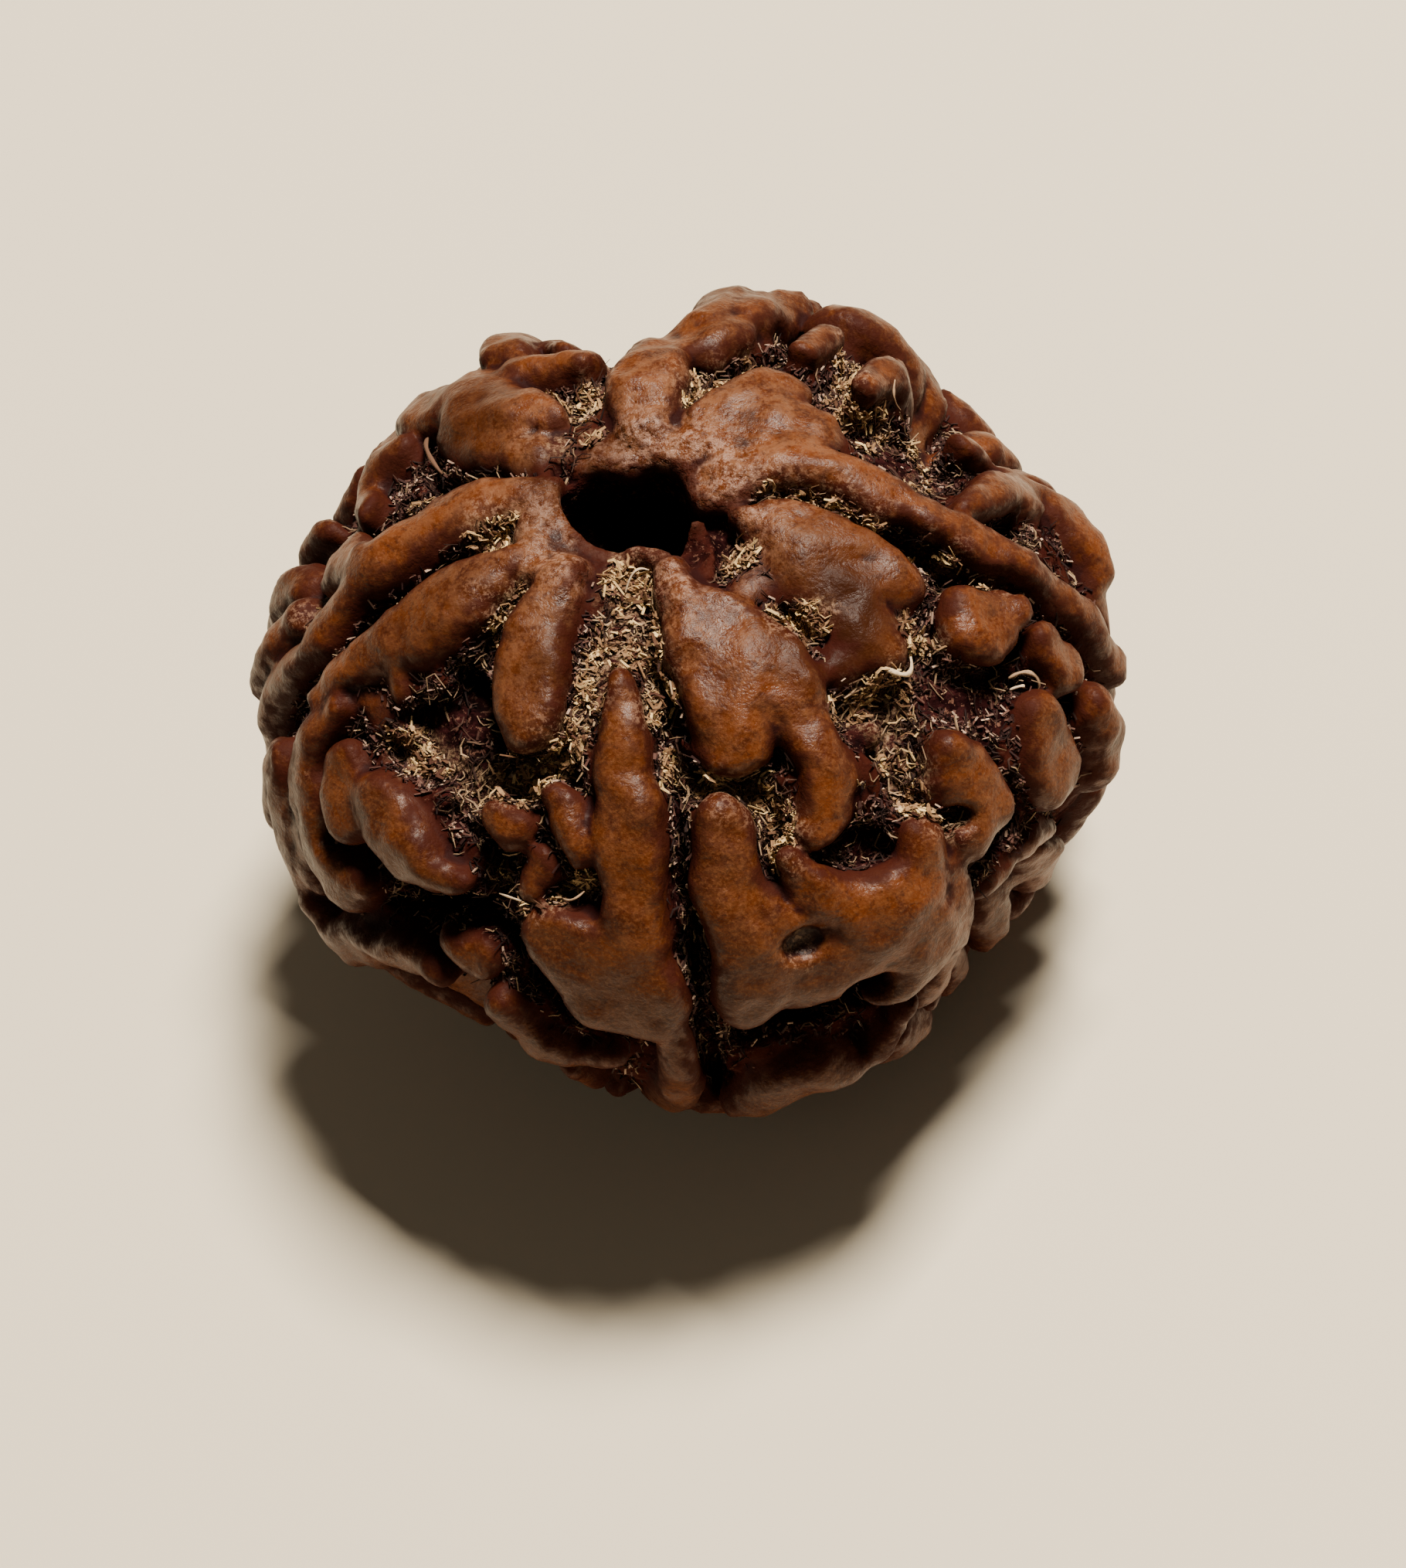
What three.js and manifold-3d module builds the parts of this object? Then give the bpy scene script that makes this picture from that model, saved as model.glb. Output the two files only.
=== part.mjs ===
// A rudraksha bead: the stone of an Elaeocarpus fruit, dried and cleaned, with its natural bore.
// Millimetres, +Z up along the bore. The stone stands on its lower end, which meets z = 0.
// Its relief is raised from a plain ellipsoid: lobes stand on a rough base, and valleys and creases are cut
// into that base between them.

import * as THREE from "three";
import { mergeVertices } from "three/addons/utils/BufferGeometryUtils.js";
import Module from "manifold-3d";

// Reference ellipsoid, which the crowns of the lobes touch
const RADIUS = 11.95;
const HALF_HEIGHT = 9.7;
const CENTRE = new THREE.Vector3(0, 0, 8.75);

// Relief
const BASE_DEPTH = 0.85;
const VALLEY_WALL = 0.5;
const SHOULDER = 0.7;
const ROUNDNESS = 1.5;
const BLEND = 0.25;
const SOFTENED_OVER = 0.28;

// Mouths of the bore: a hollow and a funnel at each end, and the bore between them
const MOUTH_SINK = 1.0;
const MOUTH_SPREAD = 2.5;
const MOUTH_RADIUS = 1.5;
const BORE_RADIUS = 1.15;
const BORE_SIDES = 24;
const BORE_AT = new THREE.Vector2(-0.15, 0.1);

// Mesh: splits along each edge of an icosahedron, how far its corners may slide to meet a gap or an outline,
// and how close that may bring them
const SPLITS = 22;
const SLIDE = 0.3;
const CLOSEST = 0.27;
const EASE_PASSES = 3;

const RAD = Math.PI / 180;
const SAMPLE_STEP = 0.25;

const SCALE = new THREE.Vector3(RADIUS, RADIUS, HALF_HEIGHT);

function surfacePoint(azimuth, latitude) {
  const ring = RADIUS * Math.cos(latitude * RAD);
  return new THREE.Vector3(
    ring * Math.cos(azimuth * RAD),
    ring * Math.sin(azimuth * RAD),
    HALF_HEIGHT * Math.sin(latitude * RAD),
  );
}

// A path of azimuth, latitude and half-width, as closely spaced samples
function trace(path) {
  const samples = [];
  for (let i = 0; i + 1 < path.length; i++) {
    const [from, to] = [path[i], path[i + 1]];
    const turn = ((to[0] - from[0] + 540) % 360) - 180;
    const length = surfacePoint(from[0], from[1]).distanceTo(surfacePoint(to[0], to[1]));
    const steps = Math.max(1, Math.ceil(length / SAMPLE_STEP));
    for (let k = i === 0 ? 0 : 1; k <= steps; k++) {
      const t = k / steps;
      samples.push({
        point: surfacePoint(from[0] + turn * t, from[1] + (to[1] - from[1]) * t),
        half: from[2] + (to[2] - from[2]) * t,
      });
    }
  }
  const middle = samples[samples.length >> 1].point;
  const reach = Math.max(...samples.map((sample) => sample.point.distanceTo(middle) + sample.half));
  return { samples, middle, reach };
}

// A lobe is a rounded swelling along a path, its crown at a height over the ellipsoid.
// A valley is a groove along a path, its floor at a depth under the ellipsoid.
const lobe = (crown, ...path) => ({ crown, ...trace(path) });
const valley = (depth, ...path) => ({ depth, ...trace(path) });

// Lobes of the upper and front side, read off the stone by azimuth and latitude in degrees
const LOBES = [
  // front crease, its left bank
  lobe(
    0.0,
    [251.5, 64.5, 0.4], [251.5, 60, 0.6], [252, 55, 0.85], [252.3, 50, 0.95], [252.8, 42, 1.0],
    [253, 35, 0.95], [252.5, 28, 1.0],
  ),
  lobe(0.0, [240.5, 27.5, 0.9], [244, 24, 1.4], [249, 20, 1.75], [253, 16, 1.4], [255, 12, 0.8]),
  lobe(-0.1, [256, 10, 0.6], [256, 0, 0.6], [255, -10, 0.65], [252, -20, 0.7], [251, -32, 0.8]),
  lobe(-0.2, [238.5, 47.5, 0.5], [241.5, 45, 0.65], [244.5, 42.5, 0.55]),
  lobe(-0.3, [237.5, 39, 0.4], [236.5, 36, 0.45], [236, 33.5, 0.35]),
  lobe(-0.05, [229.3, 42.5, 0.55], [231.8, 42, 0.6]),
  // front crease, its right bank
  lobe(
    0.0,
    [277, 80, 0.45], [277.5, 76, 0.7], [278, 70, 1.0], [278, 64, 1.25], [278, 58, 1.4],
    [276, 54.5, 1.15],
  ),
  lobe(-0.05, [287, 73, 0.6], [290, 67, 0.9], [291, 61, 1.15], [291, 55, 0.95], [290.5, 49.5, 0.75]),
  lobe(0.0, [290.5, 49.5, 0.75], [291, 45, 0.75], [288, 41, 0.85], [284.5, 38.8, 0.7]),
  lobe(
    0.1,
    [268.8, 43.5, 0.85], [268.5, 38, 0.95], [268, 31, 0.95], [268, 24, 1.0], [268.5, 17, 1.1],
    [267, 12, 0.8],
  ),
  lobe(0.0, [272, 30, 0.8], [273, 22, 1.4], [275, 15, 1.3]),
  // broad lobe low on the right of the front crease
  lobe(
    0.0,
    [278, 36.5, 0.35], [279.5, 32.5, 0.65], [281.5, 27, 0.85], [286, 21.8, 1.1], [292, 21.8, 1.15],
    [296.5, 25, 0.85], [297.5, 29, 0.6],
  ),
  lobe(
    0.0,
    [270, 24, 0.9], [271, 16, 1.1], [277, 15, 1.2], [283, 16.5, 1.3], [289, 16.5, 1.5],
    [293, 12, 1.3],
  ),
  lobe(0.0, [285.5, 5.5, 0.8], [290, 5.5, 1.0], [293, 10, 1.1]),
  lobe(0.1, [263, -20, 0.8], [268, -12, 1.0], [273, -11, 1.05], [277.5, -15, 0.85]),
  lobe(0.0, [288, -3, 0.35], [284, -9, 0.4], [280, -17, 0.5], [275, -26, 0.65]),
  lobe(-0.15, [299.5, 20, 0.45], [299, 10, 0.65], [297, 0, 0.7], [293, -12, 0.8]),
  // right of the big pale valley
  lobe(0.0, [309.5, 34, 0.7], [308.8, 28.5, 1.1], [308, 24, 1.1], [304, 21.5, 0.75]),
  lobe(-0.1, [325, 24, 0.9], [323.5, 18.5, 1.2], [322, 12.5, 1.1]),
  lobe(0.15, [334.3, 12.5, 0.7], [333.7, 7, 0.95], [332, 0.5, 0.9]),
  lobe(-0.45, [305, 5, 0.5], [309, 2.5, 0.7], [313, -1, 0.8]),
  lobe(-0.3, [315, 2, 0.8], [319, -3, 0.9]),
  lobe(0.1, [335, 28, 0.65], [334.8, 23.8, 0.85]),
  lobe(0.05, [333, 44.5, 0.7], [331, 41.8, 1.15], [334, 38.8, 0.9], [336.5, 35.5, 0.45]),
  lobe(-0.7, [299.6, 45.3, 0.42], [301.6, 44.3, 0.42]),
  lobe(-0.45, [298.5, 56.5, 0.4], [305, 55.3, 0.55], [311, 54.3, 0.55]),
  // between the mouth and the right crease
  lobe(-0.1, [341, 77, 0.4], [336, 72, 0.95], [333, 66, 1.3], [331, 59.5, 1.35], [330.5, 54.5, 0.85]),
  lobe(-0.2, [322, 68, 0.95], [320, 61, 1.1], [316.5, 55, 1.05], [314.5, 51.5, 0.75]),
  lobe(-0.5, [299, 71, 0.6], [309, 71, 0.7], [322, 71, 0.9]),
  // right crease, its upper bank
  lobe(
    0.0,
    [9, 71, 0.8], [4, 66, 0.75], [358, 61.3, 0.7], [351.5, 56, 0.62], [348, 50.5, 0.52],
    [345.8, 43, 0.47], [345, 35, 0.47],
  ),
  lobe(0.0, [345, 35, 0.47], [344.8, 27, 0.5], [344.8, 19, 0.58], [345, 10, 0.65], [345.5, 4, 0.65]),
  lobe(-0.55, [345, -1, 0.7], [345, -12, 0.8]),
  // smooth shoulder right of the mouth
  lobe(-0.1, [46, 79, 0.6], [41, 73, 1.25], [37, 67, 1.45], [36.5, 62, 0.95]),
  lobe(-0.1, [22, 79, 0.6], [22, 73, 1.25], [20, 68, 1.45], [17, 63.5, 0.95]),
  lobe(-0.15, [2, 81, 0.5], [10, 76, 0.75], [14, 71, 0.8]),
  // rim of the mouth, at the back
  lobe(-0.25, [72, 79.5, 0.7], [60, 78.5, 0.75], [50, 77, 0.8]),
  lobe(-0.3, [106, 78.5, 0.7], [92, 77, 0.85], [80, 76, 0.9]),
  lobe(-0.35, [152, 77.5, 0.6], [163, 76, 0.9], [174, 75.5, 0.9]),
  lobe(-0.5, [172, 78.5, 0.7], [183, 78, 0.8]),
  lobe(-0.3, [184, 75, 0.85], [196, 75.5, 0.95], [205, 77, 0.7]),
  lobe(-0.65, [110, 75, 0.6], [119, 76.5, 0.75]),
  lobe(-0.8, [129, 78.5, 0.6], [143, 80, 0.65]),
  // lip of the mouth, at the front
  lobe(-0.15, [238, 84.5, 0.35], [248, 85, 0.5], [258, 84.5, 0.35]),
  // far right
  lobe(0.3, [24.5, 53.5, 0.4], [27, 49.5, 0.58], [29.5, 44.5, 0.68], [31.5, 38, 0.75], [32.5, 32, 0.7]),
  lobe(0.45, [49.4, 35, 0.62], [44.5, 32, 0.85], [41, 29.5, 0.8], [37, 26, 0.65]),
  lobe(0.15, [42.5, 52, 0.4], [44, 48, 0.6], [44.2, 44.5, 0.5]),
  lobe(0.0, [353, 46, 0.35], [357.5, 41, 0.6], [2, 35.5, 0.85], [5, 30, 0.85], [8, 24, 0.85]),
  lobe(0.05, [10, 27, 0.8], [8, 20, 1.0], [3, 13, 1.0], [358, 9, 0.85]),
  lobe(0.0, [12.5, 38, 0.55], [13.5, 33, 0.65]),
  lobe(-0.35, [355, 8, 0.7], [353, 0, 0.7]),
  // far side, left bank of its crease
  lobe(0.1, [79, 75, 0.9], [78, 69, 1.1], [75, 62, 1.0], [71, 56, 0.8], [68, 50, 0.65]),
  lobe(0.4, [66, 52, 0.85], [67, 44, 0.85], [66, 36, 0.85]),
  lobe(0.4, [58.8, 48, 0.72], [58.2, 41, 0.8], [57.8, 34, 0.8]),
  lobe(0.1, [63, 58, 0.7], [59, 53, 0.6]),
  // far left
  lobe(0.2, [109, 51, 0.8], [102, 54, 0.85], [95.5, 56, 0.7]),
  lobe(0.5, [107, 44, 0.95], [104, 37, 0.9]),
  lobe(0.5, [96.5, 49, 0.5], [97, 42, 0.6]),
  lobe(0.1, [116, 68, 0.6], [119.5, 62, 1.15], [121, 55, 1.35], [119, 49, 1.15]),
  lobe(-0.3, [130, 69, 0.8], [131, 61, 1.0], [130, 54, 0.8]),
  lobe(0.1, [124, 46, 0.95], [125, 39, 1.05]),
  lobe(0.1, [134.5, 43, 0.6], [138.5, 38.5, 0.8], [144, 38, 0.75], [148.5, 42.5, 0.5]),
  lobe(-0.2, [151, 37, 0.55], [152, 32, 0.6]),
  // between the two left creases
  lobe(
    0.0,
    [149, 76, 0.65], [153.5, 70, 0.7], [160, 60, 0.95], [165.5, 50, 0.95], [169, 43, 0.85],
    [171, 37, 0.8],
  ),
  lobe(0.0, [171, 37, 0.8], [171.5, 29, 0.7], [171, 20, 0.8], [170, 10, 0.8], [170, 0, 0.8]),
  lobe(0.1, [163, 47, 0.6], [158.5, 41.5, 0.95], [155.5, 34.5, 0.95]),
  lobe(0.3, [163, 28, 0.65], [164, 19, 0.85], [162, 9, 0.85]),
  lobe(0.35, [156, 26, 0.6], [154.5, 18, 0.75], [153, 9, 0.75]),
  // below the left crease
  lobe(
    0.0,
    [187, 71, 0.6], [188.5, 65, 1.15], [188.5, 58, 1.25], [187, 51, 0.95], [184, 44, 0.7],
    [182.5, 36, 0.55],
  ),
  lobe(-0.3, [190, 51, 0.55], [194.5, 48.5, 0.55]),
  lobe(0.0, [187, 37, 0.55], [188, 30, 0.65], [191, 24.5, 0.55]),
  lobe(-0.6, [190, 42, 0.6], [194, 43.5, 0.6]),
  lobe(0.0, [211, 77, 0.55], [216, 71, 0.8], [221.5, 65, 1.05], [226, 59.5, 1.1], [228.5, 56.5, 0.9]),
  // low on the left
  lobe(0.0, [196, 34, 0.7], [199, 32, 0.85], [200.5, 28, 0.85]),
  lobe(
    0.1,
    [205, 34, 0.85], [210.5, 33, 1.15], [216, 30.5, 1.05], [220.5, 29.5, 0.75], [224.5, 31, 0.45],
  ),
  lobe(0.2, [183, 19, 0.5], [185.5, 13, 0.75], [188, 7, 0.85], [192, 1, 0.85]),
  lobe(0.0, [193, 24, 0.7], [196.5, 17, 1.05], [202.5, 14.5, 1.15], [207.5, 18.5, 0.55]),
  lobe(
    0.35,
    [196, -4, 0.7], [200, -7, 0.9], [204, -4, 1.1], [209, 2, 1.0], [215, 6.5, 0.85],
    [221, 10.5, 0.7],
  ),
  lobe(-0.1, [224, 18.5, 0.45], [228.5, 17.5, 0.7]),
  lobe(0.1, [233, 10.5, 0.65], [235, 5, 0.9], [239, 0, 0.85]),
  lobe(-0.2, [237, -3, 0.55], [242, -1, 0.5], [246.5, 1, 0.45]),
  lobe(-0.1, [187, 26, 0.45], [189.5, 19, 0.7], [192, 11, 0.8], [195, 4, 0.6]),
  lobe(0.25, [181, 17, 0.55], [180.5, 11, 0.75], [182, 4, 0.85]),
];

// Valleys of the same side, where the stone is hollow between its lobes
const VALLEYS = [
  // front crease
  valley(
    1.7,
    [262, 67, 0.25], [261.5, 58, 0.28], [261.5, 50, 0.32], [261, 42, 0.28], [261, 34, 0.28],
    [261, 28, 0.32],
  ),
  valley(
    1.8,
    [261, 28, 0.32], [260, 24, 0.42], [260.5, 18, 0.38], [260, 10, 0.42], [260, 0, 0.42],
    [259.5, -14, 0.38], [259.5, -34, 0.35],
  ),
  // under the lobe right of the front crease, and the pocket below it
  valley(
    1.9,
    [265.5, 63, 0.2], [266.5, 57, 0.25], [269, 52.5, 0.32], [273, 50.2, 0.38], [279, 49.5, 0.38],
    [284, 50, 0.4], [287, 50.5, 0.25],
  ),
  valley(
    1.45,
    [264, 53, 0.3], [265.5, 49, 0.5], [271, 47.5, 0.5], [277, 45.5, 0.65], [279, 41, 0.5],
    [276.5, 36, 0.35],
  ),
  // big valley on the left, deepest under the lobes above it
  valley(
    2.1,
    [203, 57.5, 0.5], [209, 56, 0.8], [216, 54, 0.7], [223, 52, 0.6], [230, 53, 0.55],
    [236, 55, 0.4],
  ),
  valley(
    1.6,
    [200, 47.5, 0.6], [207, 46, 0.85], [214, 46, 1.0], [222, 46, 1.0], [230, 48, 0.85],
    [238, 51, 0.6],
  ),
  valley(1.7, [206, 51.5, 0.6], [214, 50.5, 0.8], [222, 49.5, 0.8], [230, 51, 0.5]),
  // strip of pulp from the mouth down
  valley(
    1.15,
    [250, 80, 0.5], [250, 74, 0.75], [248, 68, 0.9], [243, 64, 0.75], [239, 60, 0.55],
    [237, 56.5, 0.4],
  ),
  valley(1.3, [259, 76, 0.4], [261, 70, 0.5], [261.5, 65, 0.45]),
  // left crease, from its pulp near the mouth
  valley(1.1, [161, 73.5, 0.4], [166, 71, 0.5], [170, 67.5, 0.4]),
  valley(
    1.6,
    [171, 66, 0.3], [173, 59, 0.28], [174.5, 50, 0.28], [176, 42, 0.32], [177, 34, 0.32],
    [176.5, 26, 0.32], [176, 10, 0.28], [176, -10, 0.3],
  ),
  // crevice left of the mouth, down to the big valley
  valley(
    1.5,
    [188, 74.5, 0.2], [193, 71.5, 0.38], [199, 68, 0.42], [204, 65, 0.38], [207, 61, 0.45],
    [207, 58, 0.5],
  ),
  // notch on the far left
  valley(
    1.7,
    [138, 71, 0.25], [140, 66, 0.35], [142, 60, 0.5], [143.5, 55.5, 0.5], [148, 50, 0.4],
    [152, 46.5, 0.4], [153, 41, 0.35],
  ),
  valley(1.2, [131, 75.5, 0.4], [124, 76.5, 0.4], [117, 75, 0.3]),
  // pulp beyond the mouth, left and right of the far mass
  valley(1.15, [109, 67, 0.45], [102, 66, 0.75], [95, 64.5, 0.6]),
  valley(1.6, [113, 61, 0.3], [106, 60, 0.35], [99, 61.5, 0.4], [91, 63.5, 0.4]),
  valley(2.7, [89.5, 62, 0.3], [88.5, 54, 0.45], [88, 46, 0.5], [88, 37, 0.5], [88.5, 26, 0.4]),
  valley(1.15, [67, 68.5, 0.35], [61, 67, 0.6], [55, 63.5, 0.55], [51, 57.5, 0.4], [49, 52, 0.3]),
  valley(1.7, [66, 62, 0.25], [58, 60, 0.3], [51, 55, 0.35], [49.5, 50, 0.35], [49.5, 45, 0.3]),
  valley(
    1.4,
    [46, 63, 0.3], [42, 59, 0.35], [39, 55.5, 0.4], [35, 55.5, 0.5], [34, 51, 0.4], [37, 45, 0.38],
    [39.5, 40, 0.32], [39, 35.5, 0.22],
  ),
  valley(1.0, [53.3, 44, 0.18], [53.3, 36, 0.25], [53, 26, 0.3]),
  // valley on the upper right
  valley(
    1.4,
    [30, 57, 0.45], [24, 56.5, 0.6], [17, 55, 0.8], [10, 53, 0.9], [4, 52, 0.8], [359, 50, 0.6],
    [356.5, 52, 0.4],
  ),
  valley(
    1.6,
    [20, 50, 0.45], [14, 46.5, 0.9], [7, 45.5, 0.9], [3, 44.5, 0.6], [8, 42, 0.6], [15, 40.5, 0.65],
    [19, 37, 0.45],
  ),
  valley(1.9, [21, 45, 0.4], [19, 39, 0.45], [19, 33, 0.5], [19, 26, 0.5]),
  valley(
    1.9,
    [350.5, 39.5, 0.2], [354.5, 35, 0.35], [357, 32, 0.4], [353, 27.5, 0.3], [350.5, 22, 0.22],
    [350.5, 14, 0.2], [349.5, 4, 0.2],
  ),
  // right crease, from its pulp near the mouth
  valley(
    1.3,
    [359.5, 75.5, 0.3], [356, 71.5, 0.5], [352, 67, 0.55], [349, 62.5, 0.42], [347, 58, 0.35],
  ),
  valley(
    1.8,
    [347, 61, 0.3], [344, 56, 0.38], [342, 51, 0.42], [341, 46, 0.38], [340.3, 40, 0.3],
    [340, 32, 0.28],
  ),
  valley(1.7, [340, 32, 0.28], [340, 22, 0.3], [339.8, 12, 0.3], [339.5, 2, 0.3], [340, -14, 0.3]),
  valley(
    1.6,
    [320, 45, 0.3], [325, 46.8, 0.35], [330, 48.5, 0.35], [335, 48.3, 0.35], [340, 46.5, 0.35],
  ),
  valley(1.5, [328.5, 30, 0.3], [327.5, 24, 0.2], [330, 17.5, 0.22], [335, 17, 0.22], [339, 18, 0.25]),
  // hollow of the mass right of the front lobe, and the crevice by the mouth
  valley(1.3, [301.5, 65, 0.4], [306, 63.3, 0.6], [311, 60.5, 0.5]),
  valley(1.3, [347, 82, 0.3], [336, 78.5, 0.5], [322, 75.8, 0.6], [310, 75, 0.45]),
  valley(0.9, [324, 80, 0.5], [304, 80.5, 0.55], [290, 82, 0.35]),
  // big pale valley on the right
  valley(
    1.5,
    [296, 52, 0.35], [300, 49, 0.6], [304, 46, 1.0], [304.5, 41, 0.9], [302, 36, 0.65],
    [300, 31.5, 0.4],
  ),
  valley(1.4, [311, 50.5, 0.35], [311, 47, 0.6], [309, 43, 0.6]),
  valley(1.2, [301, 27.5, 0.25], [299.8, 24, 0.2]),
  // dark valley right of it, deepest under the lobe above it
  valley(
    1.2,
    [313.5, 44, 0.5], [317, 39.5, 0.8], [320, 35, 0.8], [324, 32, 0.6], [316, 31, 0.5],
    [315, 26, 0.3],
  ),
  valley(
    1.4,
    [316, 49.5, 0.35], [320, 47.5, 0.4], [319, 43, 0.4], [323, 38, 0.4], [327.5, 35.5, 0.35],
    [331.5, 33.5, 0.32], [336, 32.5, 0.25],
  ),
  valley(1.6, [329, 28, 0.3], [328.5, 20, 0.25], [326.5, 12, 0.3], [325, 4, 0.35]),
  valley(
    1.8,
    [315.5, 22, 0.22], [314.5, 14, 0.35], [309, 11.5, 0.5], [304, 12.5, 0.45], [302, 17, 0.25],
  ),
  // pockets low on the right
  valley(
    1.35,
    [283, 34.5, 0.35], [287, 33, 0.6], [291, 31.5, 0.6], [292.5, 28.5, 0.45], [287, 29.5, 0.4],
  ),
  valley(2.9, [264.5, 1, 0.4], [270, 2, 0.7], [276, 2.5, 0.8], [281, 1.5, 0.65], [285, -3, 0.35]),
  valley(1.5, [295.5, 22, 0.15], [296, 12, 0.2], [294.5, 2, 0.22], [291, -8, 0.25]),
  // black hollow low on the left
  valley(
    2.4,
    [205.5, 24.5, 0.3], [211, 23.5, 0.6], [218, 22.5, 0.8], [225, 24, 0.7], [231, 25.5, 0.55],
    [235, 21, 0.4],
  ),
  valley(
    2.3,
    [210, 14, 0.4], [215, 15.5, 0.7], [220, 16, 0.6], [226, 12.5, 0.5], [229, 7, 0.5],
    [229.5, 0, 0.5],
  ),
  valley(2.1, [235, 21, 0.4], [237, 16.5, 0.38], [241, 11.5, 0.42], [246, 7.5, 0.45], [252, 5.5, 0.35]),
  valley(2.3, [226.5, 37.5, 0.3], [229.5, 35.8, 0.55], [232, 33.5, 0.35]),
  valley(1.4, [228, 31.5, 0.25], [233, 31, 0.3], [239, 33, 0.4], [243, 35, 0.4], [246.5, 35.5, 0.25]),
  valley(1.3, [219, 39, 0.35], [224, 38.5, 0.35], [240, 40.5, 0.25]),
  valley(1.5, [200, 41.5, 0.4], [205, 40.5, 0.4], [210, 41, 0.35]),
  valley(1.6, [194.5, 37.5, 0.3], [191.5, 33.5, 0.3], [193, 29, 0.25]),
  valley(1.7, [196.5, 24, 0.25], [199, 20, 0.38], [200.5, 16, 0.3]),
];

// Creases from mouth to mouth, by azimuth, with the latitude where their unseen banks begin
const CREASES = [
  { azimuth: 21, below: 20 },
  { azimuth: 53, below: 26 },
  { azimuth: 88, below: 34 },
  { azimuth: 148, below: 22 },
  { azimuth: 175, below: -14 },
  { azimuth: 234, below: -14 },
  { azimuth: 261, below: -38 },
  { azimuth: 308, below: -22 },
  { azimuth: 341, below: -16 },
];
const BANK_END = -66;
const HOLLOWS = 140;
const ARMED = 0.7;

// Broad hollows of the whole surface: azimuth, latitude, spread and depth
const DENTS = [
  [220, -11, 2.7, 1.9],
  [231, -22, 3.0, 0.6],
  [88, 30, 2.2, 1.5],
  [25.5, 26, 1.7, 1.6],
  [217, 17, 2.2, 0.45],
  [309, -15, 3.3, 2.0],
  [53.3, 38, 0.9, 0.55],
  [22, 25, 2.7, 1.2],
  [88, 46, 1.9, 1.2],
  [151, 32, 2.2, 0.7],
  [274, 4, 1.6, 0.5],
];

// Small pits: azimuth, latitude, radius and depth under the ellipsoid
const PITS = [
  [275.2, 22.5, 0.34, 0.3],
  [276.7, 21.7, 0.36, 0.4],
  [281, 10, 0.4, 1.6],
  [284, 8, 0.5, 2.0],
  [199.5, 21.5, 0.35, 1.8],
  [356.5, 32, 0.4, 1.9],
  [138, 51, 0.5, 2.0],
  [304.3, 26.1, 0.3, 1.2],
];

// Repeatable random numbers from 0 to 1
let draw = 20260;
function random() {
  draw = (draw * 16807) % 2147483647;
  return draw / 2147483647;
}

const degreesAcross = (length, latitude) => length / (RADIUS * Math.cos(latitude * RAD) * RAD);
const degreesAlong = (length) => length / (HALF_HEIGHT * 1.08 * RAD);

// The two banks of a crease on the unseen side: chains of uneven swellings
function banksOf({ azimuth, below }) {
  const banks = [];
  for (const side of [-1, 1]) {
    let latitude = below;
    while (latitude > BANK_END) {
      const reach = 12 + 14 * random();
      const breadth = (0.5 + 0.35 * random()) * (0.55 + 0.45 * Math.cos(latitude * RAD));
      const lean = 0.35 * (random() - 0.3);
      const path = [0, 0.5, 1].map((t) => {
        const at = Math.max(latitude - reach * t, BANK_END);
        const away = 0.22 + breadth + lean * Math.abs(t - 0.5) * 2;
        return [azimuth + side * degreesAcross(away, at), at, breadth * (t === 0.5 ? 1.1 : 0.8)];
      });
      banks.push(lobe(0.25 * random() - 0.15, ...path));
      latitude -= reach + 7.5;
    }
  }
  return banks;
}

// The crease itself, from where its unseen banks begin to the lower mouth
function creaseOf({ azimuth, below }) {
  const path = [];
  for (let i = 0; i <= 6; i++) path.push([azimuth, below + ((-76 - below) * i) / 6, 0.3]);
  return valley(1.7, ...path);
}

// The smooth shoulders around the lower mouth, one for each face
function shoulderOf({ azimuth }, index) {
  const next = CREASES[(index + 1) % CREASES.length].azimuth;
  const width = (next - azimuth + 360) % 360;
  const middle = azimuth + width / 2 + 6 * (random() - 0.5);
  const half = Math.min(0.028 * width, 1.25);
  const outer = -58 - 8 * random();
  return lobe(-0.1, [middle, -79, half * 0.8], [middle + 3, -71, half], [middle, outer, half * 0.8]);
}

function clearOf(path, lobes, gap) {
  for (const [azimuth, latitude, half] of path) {
    const point = surfacePoint(azimuth, latitude);
    for (const other of lobes) {
      if (point.distanceTo(other.middle) > other.reach + half + gap) continue;
      for (const sample of other.samples)
        if (point.distanceTo(sample.point) < half + sample.half + gap) return false;
    }
  }
  return true;
}

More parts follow.
